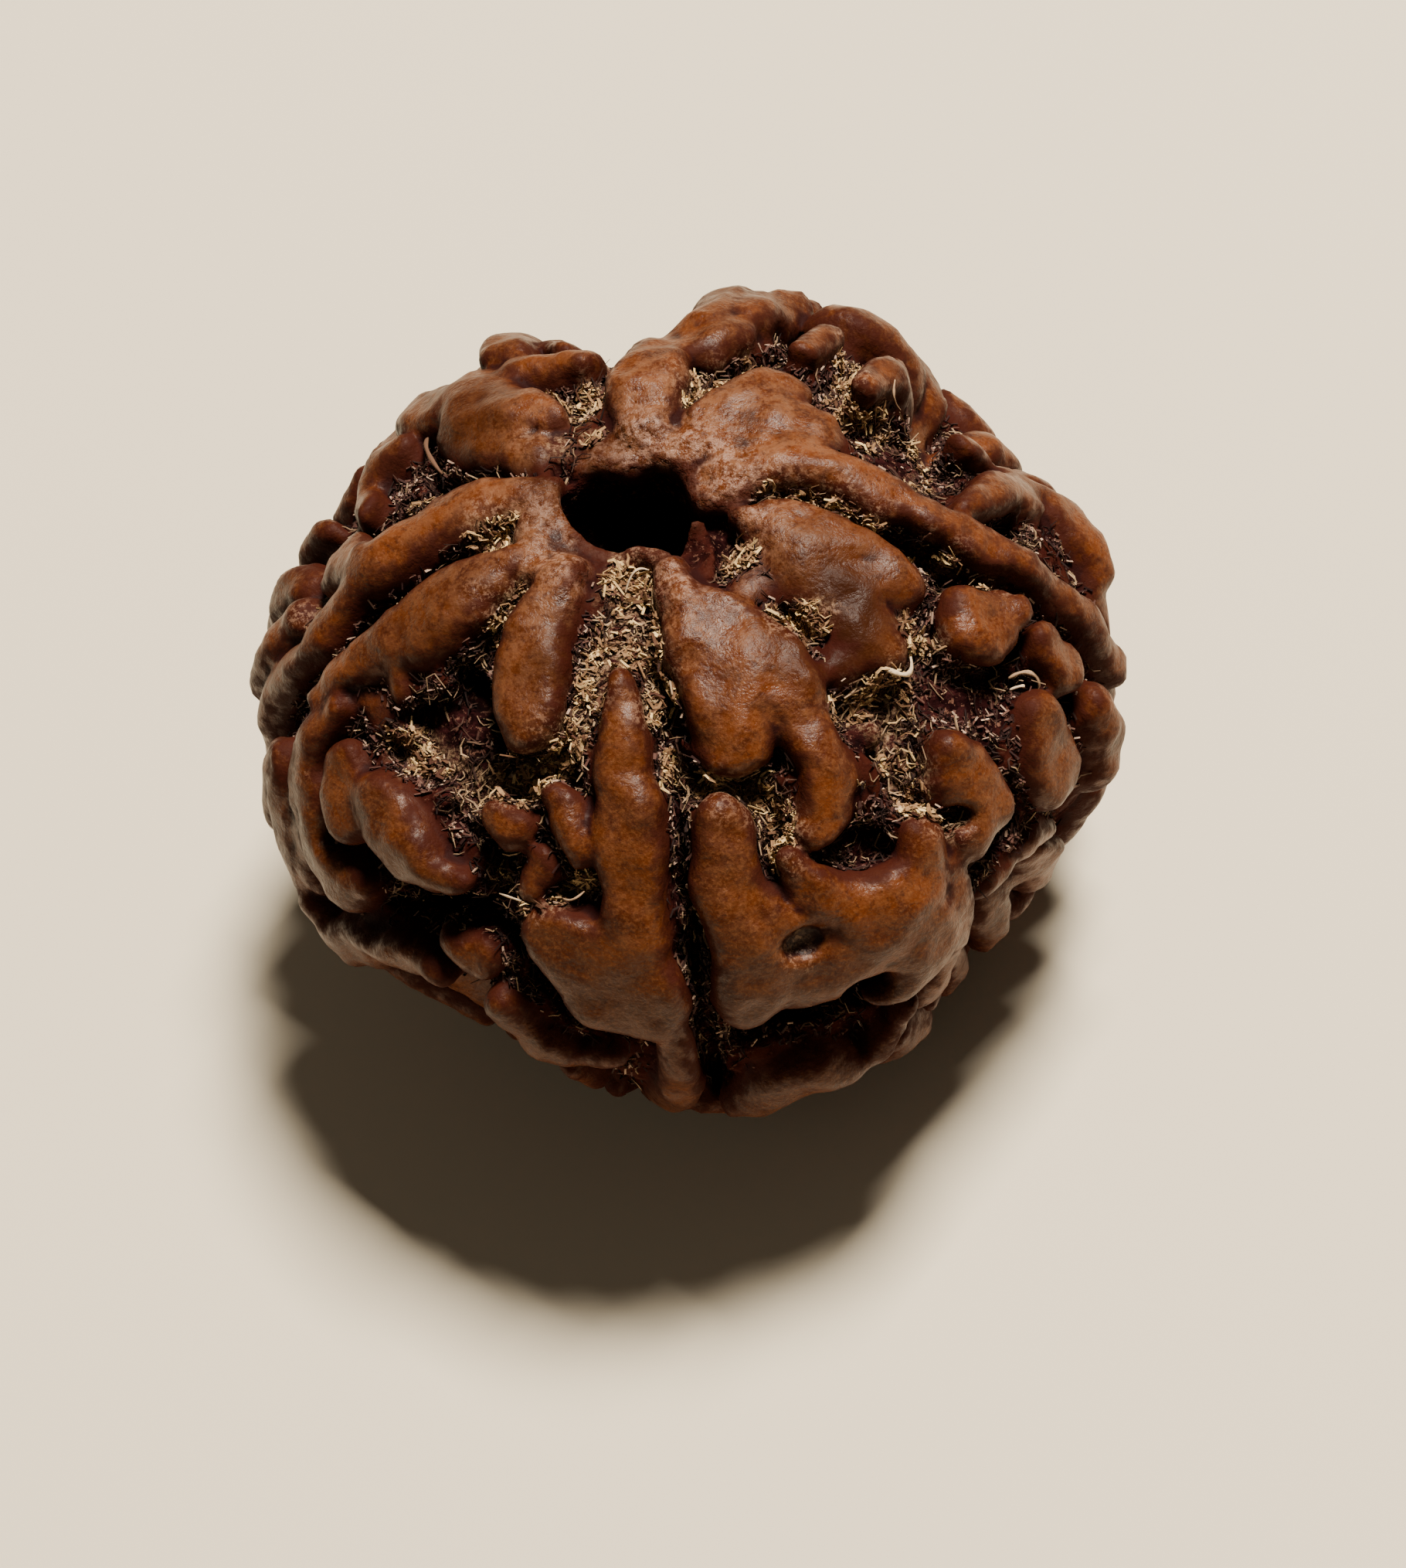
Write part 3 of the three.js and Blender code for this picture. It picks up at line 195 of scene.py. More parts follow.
# Valleys of the same side, where the stone is hollow between its lobes: depth, then the path
VALLEYS = [
    # front crease
    (1.7, (262, 67, 0.25), (261.5, 58, 0.28), (261.5, 50, 0.32), (261, 42, 0.28), (261, 34, 0.28),
     (261, 28, 0.32)),
    (1.8, (261, 28, 0.32), (260, 24, 0.42), (260.5, 18, 0.38), (260, 10, 0.42), (260, 0, 0.42),
     (259.5, -14, 0.38), (259.5, -34, 0.35)),
    # under the lobe right of the front crease, and the pocket below it
    (1.9, (265.5, 63, 0.2), (266.5, 57, 0.25), (269, 52.5, 0.32), (273, 50.2, 0.38), (279, 49.5, 0.38),
     (284, 50, 0.4), (287, 50.5, 0.25)),
    (1.45, (264, 53, 0.3), (265.5, 49, 0.5), (271, 47.5, 0.5), (277, 45.5, 0.65), (279, 41, 0.5),
     (276.5, 36, 0.35)),
    # big valley on the left, deepest under the lobes above it
    (2.1, (203, 57.5, 0.5), (209, 56, 0.8), (216, 54, 0.7), (223, 52, 0.6), (230, 53, 0.55),
     (236, 55, 0.4)),
    (1.6, (200, 47.5, 0.6), (207, 46, 0.85), (214, 46, 1.0), (222, 46, 1.0), (230, 48, 0.85),
     (238, 51, 0.6)),
    (1.7, (206, 51.5, 0.6), (214, 50.5, 0.8), (222, 49.5, 0.8), (230, 51, 0.5)),
    # strip of pulp from the mouth down
    (1.15, (250, 80, 0.5), (250, 74, 0.75), (248, 68, 0.9), (243, 64, 0.75), (239, 60, 0.55),
     (237, 56.5, 0.4)),
    (1.3, (259, 76, 0.4), (261, 70, 0.5), (261.5, 65, 0.45)),
    # left crease, from its pulp near the mouth
    (1.1, (161, 73.5, 0.4), (166, 71, 0.5), (170, 67.5, 0.4)),
    (1.6, (171, 66, 0.3), (173, 59, 0.28), (174.5, 50, 0.28), (176, 42, 0.32), (177, 34, 0.32),
     (176.5, 26, 0.32), (176, 10, 0.28), (176, -10, 0.3)),
    # crevice left of the mouth, down to the big valley
    (1.5, (188, 74.5, 0.2), (193, 71.5, 0.38), (199, 68, 0.42), (204, 65, 0.38), (207, 61, 0.45),
     (207, 58, 0.5)),
    # notch on the far left
    (1.7, (138, 71, 0.25), (140, 66, 0.35), (142, 60, 0.5), (143.5, 55.5, 0.5), (148, 50, 0.4),
     (152, 46.5, 0.4), (153, 41, 0.35)),
    (1.2, (131, 75.5, 0.4), (124, 76.5, 0.4), (117, 75, 0.3)),
    # pulp beyond the mouth, left and right of the far mass
    (1.15, (109, 67, 0.45), (102, 66, 0.75), (95, 64.5, 0.6)),
    (1.6, (113, 61, 0.3), (106, 60, 0.35), (99, 61.5, 0.4), (91, 63.5, 0.4)),
    (2.7, (89.5, 62, 0.3), (88.5, 54, 0.45), (88, 46, 0.5), (88, 37, 0.5), (88.5, 26, 0.4)),
    (1.15, (67, 68.5, 0.35), (61, 67, 0.6), (55, 63.5, 0.55), (51, 57.5, 0.4), (49, 52, 0.3)),
    (1.7, (66, 62, 0.25), (58, 60, 0.3), (51, 55, 0.35), (49.5, 50, 0.35), (49.5, 45, 0.3)),
    (1.4, (46, 63, 0.3), (42, 59, 0.35), (39, 55.5, 0.4), (35, 55.5, 0.5), (34, 51, 0.4), (37, 45, 0.38),
     (39.5, 40, 0.32), (39, 35.5, 0.22)),
    (1.0, (53.3, 44, 0.18), (53.3, 36, 0.25), (53, 26, 0.3)),
    # valley on the upper right
    (1.4, (30, 57, 0.45), (24, 56.5, 0.6), (17, 55, 0.8), (10, 53, 0.9), (4, 52, 0.8), (359, 50, 0.6),
     (356.5, 52, 0.4)),
    (1.6, (20, 50, 0.45), (14, 46.5, 0.9), (7, 45.5, 0.9), (3, 44.5, 0.6), (8, 42, 0.6), (15, 40.5, 0.65),
     (19, 37, 0.45)),
    (1.9, (21, 45, 0.4), (19, 39, 0.45), (19, 33, 0.5), (19, 26, 0.5)),
    (1.9, (350.5, 39.5, 0.2), (354.5, 35, 0.35), (357, 32, 0.4), (353, 27.5, 0.3), (350.5, 22, 0.22),
     (350.5, 14, 0.2), (349.5, 4, 0.2)),
    # right crease, from its pulp near the mouth
    (1.3, (359.5, 75.5, 0.3), (356, 71.5, 0.5), (352, 67, 0.55), (349, 62.5, 0.42), (347, 58, 0.35)),
    (1.8, (347, 61, 0.3), (344, 56, 0.38), (342, 51, 0.42), (341, 46, 0.38), (340.3, 40, 0.3),
     (340, 32, 0.28)),
    (1.7, (340, 32, 0.28), (340, 22, 0.3), (339.8, 12, 0.3), (339.5, 2, 0.3), (340, -14, 0.3)),
    (1.6, (320, 45, 0.3), (325, 46.8, 0.35), (330, 48.5, 0.35), (335, 48.3, 0.35), (340, 46.5, 0.35)),
    (1.5, (328.5, 30, 0.3), (327.5, 24, 0.2), (330, 17.5, 0.22), (335, 17, 0.22), (339, 18, 0.25)),
    # hollow of the mass right of the front lobe, and the crevice by the mouth
    (1.3, (301.5, 65, 0.4), (306, 63.3, 0.6), (311, 60.5, 0.5)),
    (1.3, (347, 82, 0.3), (336, 78.5, 0.5), (322, 75.8, 0.6), (310, 75, 0.45)),
    (0.9, (324, 80, 0.5), (304, 80.5, 0.55), (290, 82, 0.35)),
    # big pale valley on the right
    (1.5, (296, 52, 0.35), (300, 49, 0.6), (304, 46, 1.0), (304.5, 41, 0.9), (302, 36, 0.65),
     (300, 31.5, 0.4)),
    (1.4, (311, 50.5, 0.35), (311, 47, 0.6), (309, 43, 0.6)),
    (1.2, (301, 27.5, 0.25), (299.8, 24, 0.2)),
    # dark valley right of it, deepest under the lobe above it
    (1.2, (313.5, 44, 0.5), (317, 39.5, 0.8), (320, 35, 0.8), (324, 32, 0.6), (316, 31, 0.5),
     (315, 26, 0.3)),
    (1.4, (316, 49.5, 0.35), (320, 47.5, 0.4), (319, 43, 0.4), (323, 38, 0.4), (327.5, 35.5, 0.35),
     (331.5, 33.5, 0.32), (336, 32.5, 0.25)),
    (1.6, (329, 28, 0.3), (328.5, 20, 0.25), (326.5, 12, 0.3), (325, 4, 0.35)),
    (1.8, (315.5, 22, 0.22), (314.5, 14, 0.35), (309, 11.5, 0.5), (304, 12.5, 0.45), (302, 17, 0.25)),
    # pockets low on the right
    (1.35, (283, 34.5, 0.35), (287, 33, 0.6), (291, 31.5, 0.6), (292.5, 28.5, 0.45), (287, 29.5, 0.4)),
    (2.9, (264.5, 1, 0.4), (270, 2, 0.7), (276, 2.5, 0.8), (281, 1.5, 0.65), (285, -3, 0.35)),
    (1.5, (295.5, 22, 0.15), (296, 12, 0.2), (294.5, 2, 0.22), (291, -8, 0.25)),
    # black hollow low on the left
    (2.4, (205.5, 24.5, 0.3), (211, 23.5, 0.6), (218, 22.5, 0.8), (225, 24, 0.7), (231, 25.5, 0.55),
     (235, 21, 0.4)),
    (2.3, (210, 14, 0.4), (215, 15.5, 0.7), (220, 16, 0.6), (226, 12.5, 0.5), (229, 7, 0.5),
     (229.5, 0, 0.5)),
    (2.1, (235, 21, 0.4), (237, 16.5, 0.38), (241, 11.5, 0.42), (246, 7.5, 0.45), (252, 5.5, 0.35)),
    (2.3, (226.5, 37.5, 0.3), (229.5, 35.8, 0.55), (232, 33.5, 0.35)),
    (1.4, (228, 31.5, 0.25), (233, 31, 0.3), (239, 33, 0.4), (243, 35, 0.4), (246.5, 35.5, 0.25)),
    (1.3, (219, 39, 0.35), (224, 38.5, 0.35), (240, 40.5, 0.25)),
    (1.5, (200, 41.5, 0.4), (205, 40.5, 0.4), (210, 41, 0.35)),
    (1.6, (194.5, 37.5, 0.3), (191.5, 33.5, 0.3), (193, 29, 0.25)),
    (1.7, (196.5, 24, 0.25), (199, 20, 0.38), (200.5, 16, 0.3)),
]


# Creases from mouth to mouth: azimuth, and the latitude where their unseen banks begin
CREASES = [
    (21, 20), (53, 26), (88, 34), (148, 22), (175, -14), (234, -14), (261, -38), (308, -22), (341, -16),
]
CREASE_DEPTH, CREASE_HALF, CREASE_END = 1.7, 0.3, -76

# Broad hollows of the whole surface: azimuth, latitude, spread and depth
DENTS = [
    (220, -11, 2.7, 1.9), (231, -22, 3.0, 0.6), (88, 30, 2.2, 1.5), (25.5, 26, 1.7, 1.6),
    (217, 17, 2.2, 0.45), (309, -15, 3.3, 2.0), (53.3, 38, 0.9, 0.55), (22, 25, 2.7, 1.2),
    (88, 46, 1.9, 1.2), (151, 32, 2.2, 0.7), (274, 4, 1.6, 0.5),
]

# Small pits: azimuth, latitude, radius and depth under the ellipsoid
PITS = [
    (275.2, 22.5, 0.34, 0.3), (276.7, 21.7, 0.36, 0.4), (281, 10, 0.4, 1.6), (284, 8, 0.5, 2.0),
    (199.5, 21.5, 0.35, 1.8), (356.5, 32, 0.4, 1.9), (138, 51, 0.5, 2.0), (304.3, 26.1, 0.3, 1.2),
]

# The unseen side, made by a rule: each pair is the least value, and how much is added at random
BANK_END, BANK_GAP = -66, 7.5
BANK_REACH, BANK_BREADTH, BANK_LEVEL = (12, 14), (0.5, 0.35), (-0.15, 0.25)
BANK_AWAY, BANK_LEAN, BANK_SWELLINGS = 0.22, 0.35, ((0, 0.8), (0.5, 1.1), (1, 0.8))
SHOULDER_START, SHOULDER_MIDDLE, SHOULDER_END, SHOULDER_LEVEL = -79, -71, (-58, -8), -0.1
SHOULDER_SHARE, WIDEST_SHOULDER, SHOULDER_LEAN, SHOULDER_TAPER = 0.028, 1.25, 6, 0.8
WART_TRIES, WART_SIZE, WART_REACH, WART_LEVEL = 2500, (0.8, 0.45), (0.5, 1.3), (-0.2, 0.3)
WART_PASSES = [(0.95, 0.2), (0.75, -0.3), (0.5, 0.05)]
WART_BEND, ARMED, ARM_DROP = 1.6, 0.7, 0.1
HOLLOWS, HOLLOW_HALF, HOLLOW_DEPTH = 140, (0.5, 0.6), (1.1, 0.6)
SPOT_SINE = (-0.93, 1.4)
HIDDEN_BELOW = -19
BEHIND_FROM, BEHIND_TO, BEHIND_BELOW = 18, 152, 31

DRAW_FACTOR, DRAW_PRIME = 16807, 2147483647
last_draw = 20260


def draw(least=0.0, added=1.0):
    """Repeatable random numbers, the same as the solid's."""
    global last_draw
    last_draw = (last_draw * DRAW_FACTOR) % DRAW_PRIME
    return least + added * (last_draw / DRAW_PRIME)


def draw_spot():
    """A spot and a heading: azimuth and latitude in degrees, and an angle in radians."""
    return draw() * 360, math.degrees(math.asin(draw(*SPOT_SINE))), draw() * 2 * math.pi


def is_seen(azimuth, latitude):
    behind = BEHIND_FROM < azimuth < BEHIND_TO and latitude < BEHIND_BELOW
    return not behind and latitude > HIDDEN_BELOW


def degrees_across(length, latitude):
    return math.degrees(length / (RADIUS * math.cos(math.radians(latitude))))


def stepped(azimuth, latitude, length, heading, half):
    """The point of a path that lies a length away from a spot, at a heading."""
    up = math.degrees(length * math.sin(heading) / (HALF_HEIGHT * 1.08))
    return azimuth + degrees_across(length * math.cos(heading), latitude), latitude + up, half


def banks_of(azimuth, below):
    """The two banks of a crease on the unseen side: chains of uneven swellings."""
    banks = []
    for side in (-1, 1):
        latitude = below
        while latitude > BANK_END:
            reach = draw(*BANK_REACH)
            breadth = draw(*BANK_BREADTH) * (0.55 + 0.45 * math.cos(math.radians(latitude)))
            lean = BANK_LEAN * (draw() - 0.3)
            path = []
            for t, swelling in BANK_SWELLINGS:
                at = max(latitude - reach * t, BANK_END)
                away = BANK_AWAY + breadth + lean * abs(t - 0.5) * 2
                path.append((azimuth + side * degrees_across(away, at), at, breadth * swelling))
            banks.append(Trace(draw(*BANK_LEVEL), path))
            latitude -= reach + BANK_GAP
    return banks


def crease_of(azimuth, below):
    """The crease itself, from where its unseen banks begin to the lower mouth."""
    latitudes = [below + (CREASE_END - below) * i / 6 for i in range(7)]
    return Trace(-CREASE_DEPTH, [(azimuth, latitude, CREASE_HALF) for latitude in latitudes])


def shoulder_of(index):
    """A smooth shoulder by the lower mouth, one for each face."""
    azimuth, next_azimuth = CREASES[index][0], CREASES[(index + 1) % len(CREASES)][0]
    width = (next_azimuth - azimuth + 360) % 360
    middle = azimuth + width / 2 + SHOULDER_LEAN * (draw() - 0.5)
    half = min(SHOULDER_SHARE * width, WIDEST_SHOULDER)
    outer = draw(*SHOULDER_END)
    end = half * SHOULDER_TAPER
    path = [(middle, SHOULDER_START, end), (middle + 3, SHOULDER_MIDDLE, half), (middle, outer, end)]
    return Trace(SHOULDER_LEVEL, path)


def clear_of(path, points, halves, gap):
    """Whether a path keeps its gap to all the other lobes' points."""
    for azimuth, latitude, half in path:
        away = np.linalg.norm(points - surface_point(azimuth, latitude), axis=1)
        if (away < half + halves + gap).any():
            return False
    return True


def scatter_warts(lobes, breadth, gap):
    """Warts between the banks: bent swellings, most with an arm, kept where they are clear of all others."""
    points = np.concatenate([each.points for each in lobes])
    halves = np.concatenate([each.halves for each in lobes])
    for _ in range(WART_TRIES):
        azimuth, latitude, heading = draw_spot()
        bend = (draw() - 0.5) * WART_BEND
        half = breadth * draw(*WART_SIZE)
        reach = half * draw(*WART_REACH)
        crown = draw(*WART_LEVEL)
        if is_seen(azimuth, latitude):
            continue
        first, last, side = [
            stepped(azimuth, latitude, reach, angle, half * 0.8)
            for angle in (heading + math.pi + bend, heading, heading + math.pi / 2 + bend / 2)
        ]
        path = [first, (azimuth, latitude, half), last]
        if not clear_of(path, points, halves, gap):
            continue
        grown = [Trace(crown, path)]
        if draw() < ARMED:
            grown.append(Trace(crown - ARM_DROP, [(azimuth, latitude, half * 0.85), side]))
        lobes += grown
        points = np.concatenate([points, *(each.points for each in grown)])
        halves = np.concatenate([halves, *(each.halves for each in grown)])


def scatter_hollows(valleys, count):
    """Hollows of the unseen side, which show between its warts."""
    while len(valleys) < count:
        azimuth, latitude, heading = draw_spot()
        half = draw(*HOLLOW_HALF)
        depth = draw(*HOLLOW_DEPTH)
        if not is_seen(azimuth, latitude):
            end = stepped(azimuth, latitude, 2 * half, heading, half * 0.7)
            valleys.append(Trace(-depth, [(azimuth, latitude, half), end]))


lobes = [Trace(crown, path) for crown, *path in LOBES]
for crease in CREASES:
    lobes += banks_of(*crease)
lobes += [shoulder_of(i) for i in range(len(CREASES))]
for breadth, gap in WART_PASSES:
    scatter_warts(lobes, breadth, gap)
valleys = [Trace(-depth, path) for depth, *path in VALLEYS]
valleys += [crease_of(*crease) for crease in CREASES]
scatter_hollows(valleys, HOLLOWS)


# The fine form, as a signed distance

VOXEL = 0.15
CELL = 2.0
MOST_TRIANGLES = 196000
NOISE_TABLE = 32
UNTANGLE_ROUNDS, BARELY_INSIDE = 6, -0.01
FAR = 9.0
SHELL_DEPTH, SHELL_HEIGHT = 3.7, 0.9
GRID_SHIFT, GRID_CELLS = 20, 64
NEAR_MARGIN = 0.9
LEAST_RING, FOOT_ROUNDS = 1e-4, 5
SQUARENESS = 2.5
SHOULDER, CROWN_ROUND = 0.9, 0.82
SKIRT, SKIRT_FROM, SKIRT_OVER, SKIRT_MIDDLE = 0.3, 0.7, 0.9, 0.5
SKIRT_GAP, SKIRT_RAMP = 0.1, 0.5
UNDERCUT, UNDERCUT_REACH = 0.2, 0.35
LOBE_BLEND, FLOOR_BLEND, GROOVE_BLEND, VALLEY_EDGE, PIT_BLEND = 0.2, 0.24, 0.3, 0.45, 0.35
MOUTH_BASE = 0.65
GRIT, GRIT_SPREAD = 0.15, 1.5

# Noise: height, length and seed, in millimetres
BASE_NOISE = [(0.24, 1.35, 11), (0.13, 0.62, 12), (0.05, 0.3, 16)]
SWELL_NOISE = [(0.17, 1.9, 13), (0.15, 1.0, 14), (0.09, 0.5, 15)]
SKIRT_NOISE = [(1.3, 1.7, 17)]
BORE_NOISE = [(0.13, 1.1, 41), (0.07, 0.45, 42)]
GRIT_NOISE, GRIT_GRAIN = [(0.35, 0.8, 18)], [(0.1, 0.33, 19)]
WARP, FINE_WARP = (0.2, 1.4, 21), (0.1, 0.6, 31)


def noise(points, length, seed):
    """Smooth noise from -1 to 1 that varies over the given length in millimetres."""
    table = np.random.default_rng(seed).random((NOISE_TABLE,) * 3, dtype=np.float32) * 2 - 1
    u = (points / length).astype(np.float32)
    base = np.floor(u)
    f = u - base
    f = f * f * (3 - 2 * f)
    i = base.astype(np.int32) & (NOISE_TABLE - 1)
    (x0, y0, z0), (x1, y1, z1), (fx, fy, fz) = i.T, ((i + 1) & (NOISE_TABLE - 1)).T, f.T

    def mix(a, b, t):
        return a + (b - a) * t

    def row(y, z):
        return mix(table[x0, y, z], table[x1, y, z], fx)

    return mix(mix(row(y0, z0), row(y1, z0), fy), mix(row(y0, z1), row(y1, z1), fy), fz)


def layered(points, layers):
    """Noise in layers, each of a height, a length and a seed."""
    return sum(height * noise(points, length, seed) for height, length, seed in layers)


def shifts(points, height, length, seed):
    """Noise in all three directions."""
    return height * np.stack([noise(points, length, seed + k) for k in range(3)], 1)


def unit(vectors):
    return vectors / np.linalg.norm(vectors, axis=-1)[..., None]


def smooth_min(a, b, width):
    near = np.maximum(width - np.abs(a - b), 0) / width
    return np.minimum(a, b) - near * near * width / 4


def smooth_max(a, b, width):
    return -smooth_min(-a, -b, width)


def foot(points):
    """The nearest point of the reference ellipsoid, and the height over it."""
    rho, z = np.maximum(np.hypot(points[:, 0], points[:, 1]), LEAST_RING), points[:, 2]

    def fitted(ring, level):
        fit = 1 / np.hypot(ring / RADIUS, level / HALF_HEIGHT)
        return ring * fit, level * fit

    ring, level = fitted(rho, z)
    for _ in range(FOOT_ROUNDS):
        n_ring, n_level = ring / RADIUS**2, level / HALF_HEIGHT**2
        size = np.hypot(n_ring, n_level)
        n_ring, n_level = n_ring / size, n_level / size
        height = (rho - ring) * n_ring + (z - level) * n_level
        ring, level = fitted(rho - height * n_ring, z - height * n_level)
    share = ring / rho
    return np.stack([points[:, 0] * share, points[:, 1] * share, level], 1), height


def outside_line(q, each):
    """How far points lie outside a lobe's outline, and the lobe's half-width there."""
    start, along = each.line[:-1], np.diff(each.line, axis=0)
    rel = q[:, None, :] - start[None]
    t = np.clip((rel * along).sum(2) / (along * along).sum(1), 0, 1)
    away = np.linalg.norm(rel - t[..., None] * along, axis=2)
    half = each.line_halves[:-1] + t * np.diff(each.line_halves)
    rows, k = np.arange(len(q)), np.argmin(away - half, axis=1)
    return (away - half)[rows, k], half[rows, k]


def lobe_field(outside, half, crown, h, skirt):
    """Distance to one lobe: rounded over its shoulders, its flanks spreading or drawn in below them."""
    wide, tall = np.minimum(half, SHOULDER), np.minimum(half, CROWN_ROUND)
    below = np.clip((crown - SKIRT_FROM * tall - h) / SKIRT_OVER, 0, 1)
    outside = outside - skirt * below * below * (3 - 2 * below)
    s = np.maximum(1 + outside / wide, 0)
    v = np.maximum(1 + (h - crown) / tall, 0)
    return ((s**SQUARENESS + v**SQUARENESS) ** (1 / SQUARENESS) - 1) * np.minimum(wide, tall)


class Near:
    """The traces near a group of points."""

    def __init__(self, traces):
        self.middles = np.array([each.middle for each in traces])
        self.reaches = np.array([each.reach for each in traces])

    def of(self, centre, span):
        away = np.linalg.norm(self.middles - centre, axis=1)
        return np.flatnonzero(away < self.reaches + span + NEAR_MARGIN)


def groups(q):
    """Rows of points that share a cell of space."""
    cell = np.floor((q + GRID_SHIFT) / CELL).astype(np.int64)
    key = (cell[:, 0] * GRID_CELLS + cell[:, 1]) * GRID_CELLS + cell[:, 2]
    order = np.argsort(key, kind="stable")
    starts = np.flatnonzero(np.diff(key[order], prepend=-1))
    for start, end in zip(starts, [*starts[1:], len(order)]):
        yield order[start:end]


def shell_field(points):
    """Signed distance to the stone, negative inside, for points about its centre.

    Also the level of a point against the ellipsoid, how far it is outside the nearest lobe's outline,
    and that lobe's number.
    """
    q, h = foot(points)
    around = (q[:, 0] ** 2 + q[:, 1] ** 2) / MOUTH_SPREAD**2
    h = h + MOUTH_SINK * np.exp(-around)
    for azimuth, latitude, spread, depth in DENTS:
        h = h + depth * np.exp(-((q - surface_point(azimuth, latitude)) ** 2).sum(1) / spread**2)
    base = -BASE_DEPTH * (1 - MOUTH_BASE * np.exp(-around / 2)) + layered(q, BASE_NOISE)
    swell = layered(q, SWELL_NOISE)
    grit = GRIT + layered(q, GRIT_NOISE) - layered(q, GRIT_GRAIN)
    swell -= np.exp(-around / GRIT_SPREAD) * grit * (q[:, 2] > 0)
    skirt = SKIRT * np.clip(SKIRT_MIDDLE + layered(q, SKIRT_NOISE), 0, 1)
    warped = q + shifts(q, *WARP) + shifts(q, *FINE_WARP)
    groove, top, nearest = np.full((3, len(q)), FAR)
    owner = np.zeros(len(q), np.int32)
    near_lobes, near_valleys = Near(lobes), Near(valleys)
    for rows in groups(q):
        at, level = warped[rows], h[rows]
        centre = at.mean(0)
        span = np.linalg.norm(at - centre, axis=1).max()
        cut, beside = groove[rows], groove[rows]
        for k in near_valleys.of(centre, span):
            outside, _ = outside_line(at, valleys[k])
            cut = np.minimum(cut, smooth_max(outside, valleys[k].level - level, VALLEY_EDGE))
            beside = np.minimum(beside, outside)
        spread = skirt[rows] * np.clip((beside - SKIRT_GAP) / SKIRT_RAMP, 0, 1)
        spread = spread - UNDERCUT * (beside < UNDERCUT_REACH)
        group, own, close = top[rows], owner[rows], nearest[rows]
        for k in near_lobes.of(centre, span):
            outside, half = outside_line(at, lobes[k])
            body = lobe_field(outside, half, lobes[k].level, level - swell[rows], spread)
            group = smooth_min(group, body, LOBE_BLEND)
            own = np.where(outside < close, k, own)
            close = np.minimum(close, outside)
        groove[rows], top[rows], nearest[rows], owner[rows] = cut, group, close, own
    field = smooth_min(smooth_max(h - base, -groove, GROOVE_BLEND), top, FLOOR_BLEND)
    for azimuth, latitude, radius, depth in PITS:
        away = np.linalg.norm(warped - surface_point(azimuth, latitude), axis=1) - radius
        pit = np.maximum(away, -(h + depth))
        field = np.where(away < 1, smooth_max(field, -pit, PIT_BLEND), field)
    return smooth_max(field, bore_field(points), PIT_BLEND), h, nearest, owner


# Outline of the upper mouth about the bore's axis: degrees and radius
MOUTH_OUTLINE = [
    (0, 1.35), (14, 1.3), (39, 1.5), (68, 1.6), (89, 1.45), (106, 1.65), (122, 2.0), (142, 2.3), (155, 2.15),
    (172, 1.85), (190, 1.6), (207, 1.35), (228, 1.1), (259, 0.85), (274, 1.0), (286, 1.2), (302, 1.3),
    (342, 1.3), (360, 1.35),
]
# The bore's radius at heights from its middle, and the heights over which it opens to that outline
THROAT = [(0, 1.15), (4.5, 1.2), (6.8, 1.3), (8.6, 1.5), (12, 1.8)]
OPENING_FROM, OPENING_OVER = 5.2, 1.6


def bore_field(points):
    """Positive inside the bore."""
    x, y, z = points[:, 0] - BORE_AT[0], points[:, 1] - BORE_AT[1], points[:, 2]
    throat = np.interp(np.abs(z), *zip(*THROAT))
    outline = np.interp(np.degrees(np.arctan2(y, x)) % 360, *zip(*MOUTH_OUTLINE))
    radius = throat + (outline - throat) * np.clip((z - OPENING_FROM) / OPENING_OVER, 0, 1)
    return radius + layered(points, BORE_NOISE) - np.hypot(x, y)


def untangle(field):
    """Fills grid squares whose corners are inside and outside in turn: four quads would share an edge."""
    for _ in range(UNTANGLE_ROUNDS):
        for axis in range(3):
            turned = np.moveaxis(field, axis, 2)
            a, b, c, d = turned[:-1, :-1], turned[1:, :-1], turned[:-1, 1:], turned[1:, 1:]
            crossed = ((a < 0) == (d < 0)) & ((b < 0) == (c < 0)) & ((a < 0) != (b < 0))
            for corner in (a, b, c, d):
                corner[crossed] = np.minimum(corner[crossed], BARELY_INSIDE)


